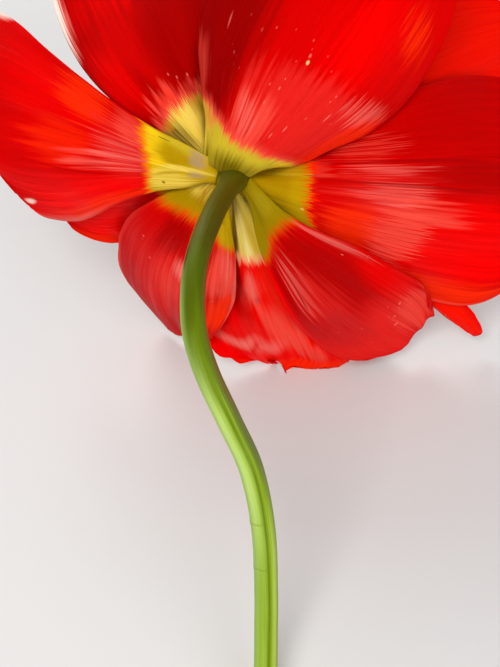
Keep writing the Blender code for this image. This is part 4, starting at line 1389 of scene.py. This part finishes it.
# Where the stem's colours lie: along runs from the bloom to the cut, across from its left to its right.
# Threads: number round it, breaks along it, seed and detail. A range says where a colour begins and is
# full, then its least and most; a line its middle and breadth; a span its ends and blur.
stemLook = {
    "lines": (16.0, 6.0, 1.0),
    "fine": (34.0, 14.0, 5.0, 3.0),
    "clouds": (1.1, 14.0, 9.0),
    "wander": 0.05,                     # how far the clouds shift the colours along
    # olive and moss under the bloom, partly painted shade of the petals, fading to fresh green
    "colours": [(0.0, "oliveAndShade"), (0.15, "oliveAndShade"), (0.20, "moss"), (0.27, "leaf"), (0.35, "fresh"),
                (1.0, "fresh")],
    "lower": (0.24, 0.34),              # range along: where the fresh green and the groove begin
    # painted light down the stem's lit left side and along its left edge
    "litSideAcross": (0.30, -0.6), "litSideAlong": (0.40, 0.54, 1.0, 0.15),
    "litEdgeAcross": (-0.25, -0.95), "litEdgeAlong": (0.15, 0.24, 0.0, 0.85),
    "limeLine": (0.76, 0.30), "limeAlong": (0.40, 0.50),
    "grooveLine": (0.28, 0.26),
    "blushAcross": (0.40, 0.75), "blushSpan": (0.27, 0.41, 0.04),
    "tanAcross": (-0.74, -0.9), "tanSpan": (0.05, 0.165, 0.02),
    "rustAcross": (0.72, 0.88), "rustSpan": (0.18, 0.32, 0.04),
    # painted highlights on the fine lines
    "gleam": (0.7, 1.0, 0.0, 0.25),
    "markAcross": (0.3, -0.2),
    "scarAlong": (0.170, 0.022), "scarAcross": (-0.78, 0.16), "scarEdge": (0.42, 0.70),
    "scarFray": 0.5,
    "roughness": (0.36, 0.5),
    "strengths": {"paintedLight": 1.0, "litEdge": 1.0, "lime": 0.9, "grooveShadeAndMarks": 0.95, "blush": 0.8, "tan": 0.6,
                  "rust": 0.7, "lines": 0.22, "gleam": 1.0, "mark": 0.35, "scar": 0.85},
    "bump": (0.3, 0.7, 0.3),            # strength, and shares of the lines and of the fine threads
    "finish": {"Specular IOR Level": 0.3, "Specular Tint": (0.75, 1.0, 0.15, 1), "Subsurface Weight": 0.1,
               "Subsurface Radius": (0.4, 1.0, 0.1), "Subsurface Scale": 0.001},
}


def stemSkin():
    # a smooth waxy stalk: olive under the bloom, partly painted shade, fresh green further down, grooved,
    # finely lined
    made, tree, shader = newMaterial("stemSkin")
    surface = tubeSurface(tree)
    across, _, along = surface
    lines, fine, clouds = (tubeFibres(tree, surface, *stemLook[kind])
                           for kind in ("lines", "fine", "clouds"))

    def where(value, name):
        return remap(tree, value, *stemLook[name])

    def line(value, name):
        return band(tree, value, *stemLook[name])

    def edge(name):
        # a colour along one side of the stem, for a span of its length
        span = between(tree, along, *stemLook[name + "Span"])
        return times(tree, where(across, name + "Across"), span)

    shifted = calc(tree, "SUBTRACT", along, 0.5 * stemLook["wander"])
    shifted = calc(tree, "MULTIPLY_ADD", clouds, stemLook["wander"], shifted)
    colour = rampColour(tree, shifted, [(place, green[name]) for place, name in stemLook["colours"]])
    lower = where(along, "lower")
    paintedLight = times(tree, where(across, "litSideAcross"), times(tree, lower, where(along, "litSideAlong")))
    litEdge = where(across, "litEdgeAcross")
    layers = [
        # painted light down the left side and along its edge
        ("light", paintedLight, "paintedLight"),
        ("litEdgeGreen", times(tree, times(tree, litEdge, litEdge), where(along, "litEdgeAlong")), "litEdge"),
        ("lime", times(tree, line(across, "limeLine"), where(along, "limeAlong")), "lime"),
        # painted shade in the groove
        ("grooveShadeAndMarks", times(tree, line(across, "grooveLine"), lower), "grooveShadeAndMarks"),
        ("blush", edge("blush"), "blush"),
        ("tan", edge("tan"), "tan"),
        ("rust", edge("rust"), "rust"),
        ("moss", lines, "lines"),
        # painted highlights on the fine lines
        ("light", times(tree, where(fine, "gleam"), lower), "gleam"),
    ]
    for place, _, breadth in stem["marks"]:
        mark = times(tree, band(tree, along, place, breadth), where(across, "markAcross"))
        layers.append(("grooveShadeAndMarks", mark, "mark"))
    scar = times(tree, line(along, "scarAlong"), line(across, "scarAcross"))
    scar = calc(tree, "MULTIPLY_ADD", fine, stemLook["scarFray"], scar)
    layers.append(("bark", where(scar, "scarEdge"), "scar"))
    for name, mask, kind in layers:
        colour = laid(tree, colour, green[name], mask, stemLook["strengths"][kind])
    feed(tree, colour, shader.inputs["Base Color"])
    feed(tree, remap(tree, clouds, 0.0, 1.0, *stemLook["roughness"]), shader.inputs["Roughness"])
    setInputs(shader, stemLook["finish"])
    strength, lineShare, fineShare = stemLook["bump"]
    relief = calc(tree, "MULTIPLY_ADD", lines, lineShare, times(tree, fine, fineShare))
    addBump(tree, shader, strength, relief)
    return made


cutLook = {
    "strands": 2200.0,                 # cells and patches per metre
    "patches": 900.0,
    "strandEdge": (0.18, 0.34, 1.0, 0.0),
    "fibre": 0.7,                      # how strongly the strands and the wet patches show
    "wet": 0.3,
    "roughness": (0.3, 0.7, 0.25, 0.5),
    "bump": 0.5,
}


def stemCut():
    # the cut end: wet pale pith with darker strands in it
    made, tree, shader = newMaterial("stemCut")
    place = tree.nodes.new("ShaderNodeTexCoord").outputs["Object"]
    strands = remap(tree, cellsAt(tree, place, cutLook["strands"])["Distance"], *cutLook["strandEdge"])
    patches = noiseAt(tree, place, cutLook["patches"])
    colour = laid(tree, green["cut"], green["fibre"], strands, cutLook["fibre"])
    colour = laid(tree, colour, green["light"], patches, cutLook["wet"])
    feed(tree, colour, shader.inputs["Base Color"])
    feed(tree, remap(tree, patches, *cutLook["roughness"]), shader.inputs["Roughness"])
    addBump(tree, shader, cutLook["bump"], calc(tree, "ADD", strands, patches))
    return made


stamenLook = {
    "lines": (5.0, 9.0, 2.0),
    "grains": (9.0, 90.0, 4.0, 3.0),
    "filament": [(0.0, (0.62, 0.60, 0.26, 1)), (0.10, (0.34, 0.24, 0.12, 1)),
                 (0.22, (0.06, 0.018, 0.045, 1)), (0.46, (0.035, 0.012, 0.03, 1))],
    "veins": (0.10, 0.04, 0.08, 1),
    "veined": 0.4,
    "anther": ((0.018, 0.009, 0.02, 1), (0.05, 0.03, 0.05, 1)),
    "pollen": (0.33, 0.28, 0.17, 1),
    "dusted": (0.62, 0.86, 0.0, 0.75),
    "antherFrom": (0.455, 0.475),
    "roughness": (0.44, 0.49, 0.42, 0.85),
    "bump": 0.6,
}
pistilLook = {
    "lines": (6.0, 5.0, 3.0),
    "grains": (12.0, 80.0, 6.0, 3.0),
    "ovary": [(0.0, (0.50, 0.52, 0.22, 1)), (0.35, (0.30, 0.42, 0.10, 1)),
              (0.75, (0.42, 0.50, 0.18, 1)), (0.85, (0.60, 0.60, 0.28, 1))],
    "veins": (0.22, 0.32, 0.06, 1),
    "veined": 0.35,
    "stigma": ((0.62, 0.50, 0.20, 1), (0.86, 0.80, 0.50, 1)),
    "stigmaFrom": (0.845, 0.875),
    "roughness": (0.84, 0.88, 0.4, 0.75),
    "bump": 0.5,
}


def stamenSkin():
    # a dark violet filament, paler at its foot, and an anther dusted with pollen
    look = stamenLook
    made, tree, shader = newMaterial("stamenSkin")
    surface = tubeSurface(tree)
    along = surface[2]
    lines, grains = (tubeFibres(tree, surface, *look[kind]) for kind in ("lines", "grains"))
    filament = laid(tree, rampColour(tree, along, look["filament"]), look["veins"], lines, look["veined"])
    anther = blendColour(tree, lines, *look["anther"])
    anther = blendColour(tree, remap(tree, grains, *look["dusted"]), anther, look["pollen"])
    colour = blendColour(tree, remap(tree, along, *look["antherFrom"]), filament, anther)
    feed(tree, colour, shader.inputs["Base Color"])
    feed(tree, remap(tree, along, *look["roughness"]), shader.inputs["Roughness"])
    addBump(tree, shader, look["bump"], grains)
    return made


def pistilSkin():
    # a pale green ovary under a creamy, grainy stigma
    look = pistilLook
    made, tree, shader = newMaterial("pistilSkin")
    surface = tubeSurface(tree)
    along = surface[2]
    lines, grains = (tubeFibres(tree, surface, *look[kind]) for kind in ("lines", "grains"))
    ovary = laid(tree, rampColour(tree, along, look["ovary"]), look["veins"], lines, look["veined"])
    stigma = blendColour(tree, grains, *look["stigma"])
    colour = blendColour(tree, remap(tree, along, *look["stigmaFrom"]), ovary, stigma)
    feed(tree, colour, shader.inputs["Base Color"])
    feed(tree, remap(tree, along, *look["roughness"]), shader.inputs["Roughness"])
    addBump(tree, shader, look["bump"], calc(tree, "ADD", lines, grains))
    return made


def makeStem():
    points, shares = stemPoints()
    cutFrom = len(shares) - stem["cutRings"] - 1
    piece = closedTube("stem_skin", points, shares, [stemSkin(), stemCut()], cutFrom)
    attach(piece, "root")
    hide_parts("stem")


def makeStamensAndPistil():
    finish = stamenSkin()
    for number in range(stamen["count"]):
        points, shares = stamenPoints(number)
        piece = closedTube("stamen_%d_skin" % (number + 1), points, shares, [finish])
        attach(piece, "root")
        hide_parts("stamen_%d" % (number + 1))
    points, shares = pistilPoints()
    piece = closedTube("pistil_skin", points, shares, [pistilSkin()])
    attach(piece, "root")
    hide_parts("pistil")


makeStem()
makeStamensAndPistil()
print("stage: stem, stamens and pistil made")


# Floor, lights and camera, in metres
studio = {
    "floor": (0.74, 0.735, 0.725, 1),
    "floorReach": 4.0,
    "floorPatches": (3.0, 0.96),       # per metre, and how much darker they are
    "floorFinish": {"Roughness": 0.9, "Specular IOR Level": 0.1},
    "world": (0.95, 0.97, 1.0, 1),
    "worldStrength": 0.4,
    # place, target, size, power, colour
    "lights": {
        "key": ((-0.25, -0.45, 0.72), (0.0, 0.04, 0.06), 0.5, 4.3, (1.0, 0.98, 0.95)),
        "fill": ((0.5, -0.6, 0.42), (0.0, 0.04, 0.06), 0.7, 2.5, (0.98, 0.98, 1.0)),
        "back": ((-0.3, 0.6, 0.5), (0.0, 0.05, 0.08), 0.4, 2.5, (1.0, 1.0, 1.0)),
    },
    "camera": (0.005, -0.1901, 0.1668),    # from the receptacle
    "cameraTilt": 40.0,                    # degrees up from straight down
    "lens": 54.0,
}


def makeFloor():
    bm = bmesh.new()
    bmesh.ops.create_grid(bm, x_segments=1, y_segments=1, size=studio["floorReach"])
    made, tree, shader = newMaterial("floor")
    scale, darker = studio["floorPatches"]
    patches = noiseAt(tree, tree.nodes.new("ShaderNodeTexCoord").outputs["Object"], scale)
    dark = tuple(darker * x for x in studio["floor"][:3]) + (1,)
    feed(tree, blendColour(tree, patches, dark, studio["floor"]), shader.inputs["Base Color"])
    setInputs(shader, studio["floorFinish"])
    floor = newPiece("floor", bm, [made])


def makeLight(name, place, target, size, power, colour):
    light = bpy.data.lights.new(name, "AREA")
    light.shape = "DISK"
    light.size = size
    light.energy = power
    light.color = colour
    made = bpy.data.objects.new(name, light)
    made.location = place
    made.rotation_euler = (Vector(target) - Vector(place)).to_track_quat("-Z", "Y").to_euler()
    bpy.context.scene.collection.objects.link(made)


def makeCamera():
    camera = bpy.data.cameras.new("camera")
    camera.lens = studio["lens"]
    camera.sensor_width = 36.0
    camera.clip_start = 0.01
    made = bpy.data.objects.new("camera", camera)
    made.location = Vector(bloom["place"]) + Vector(studio["camera"])
    made.rotation_euler = (math.radians(studio["cameraTilt"]), 0.0, 0.0)
    bpy.context.scene.collection.objects.link(made)
    bpy.context.scene.camera = made


def makeStudio():
    makeFloor()
    for name, values in studio["lights"].items():
        makeLight(name, *values)
    world = bpy.data.worlds.new("world")
    world.use_nodes = True
    background = world.node_tree.nodes["Background"]
    background.inputs[0].default_value = studio["world"]
    background.inputs[1].default_value = studio["worldStrength"]
    bpy.context.scene.world = world
    bpy.context.scene.view_settings.view_transform = "Standard"
    makeCamera()


makeStudio()
print("stage: floor, lights and camera made")
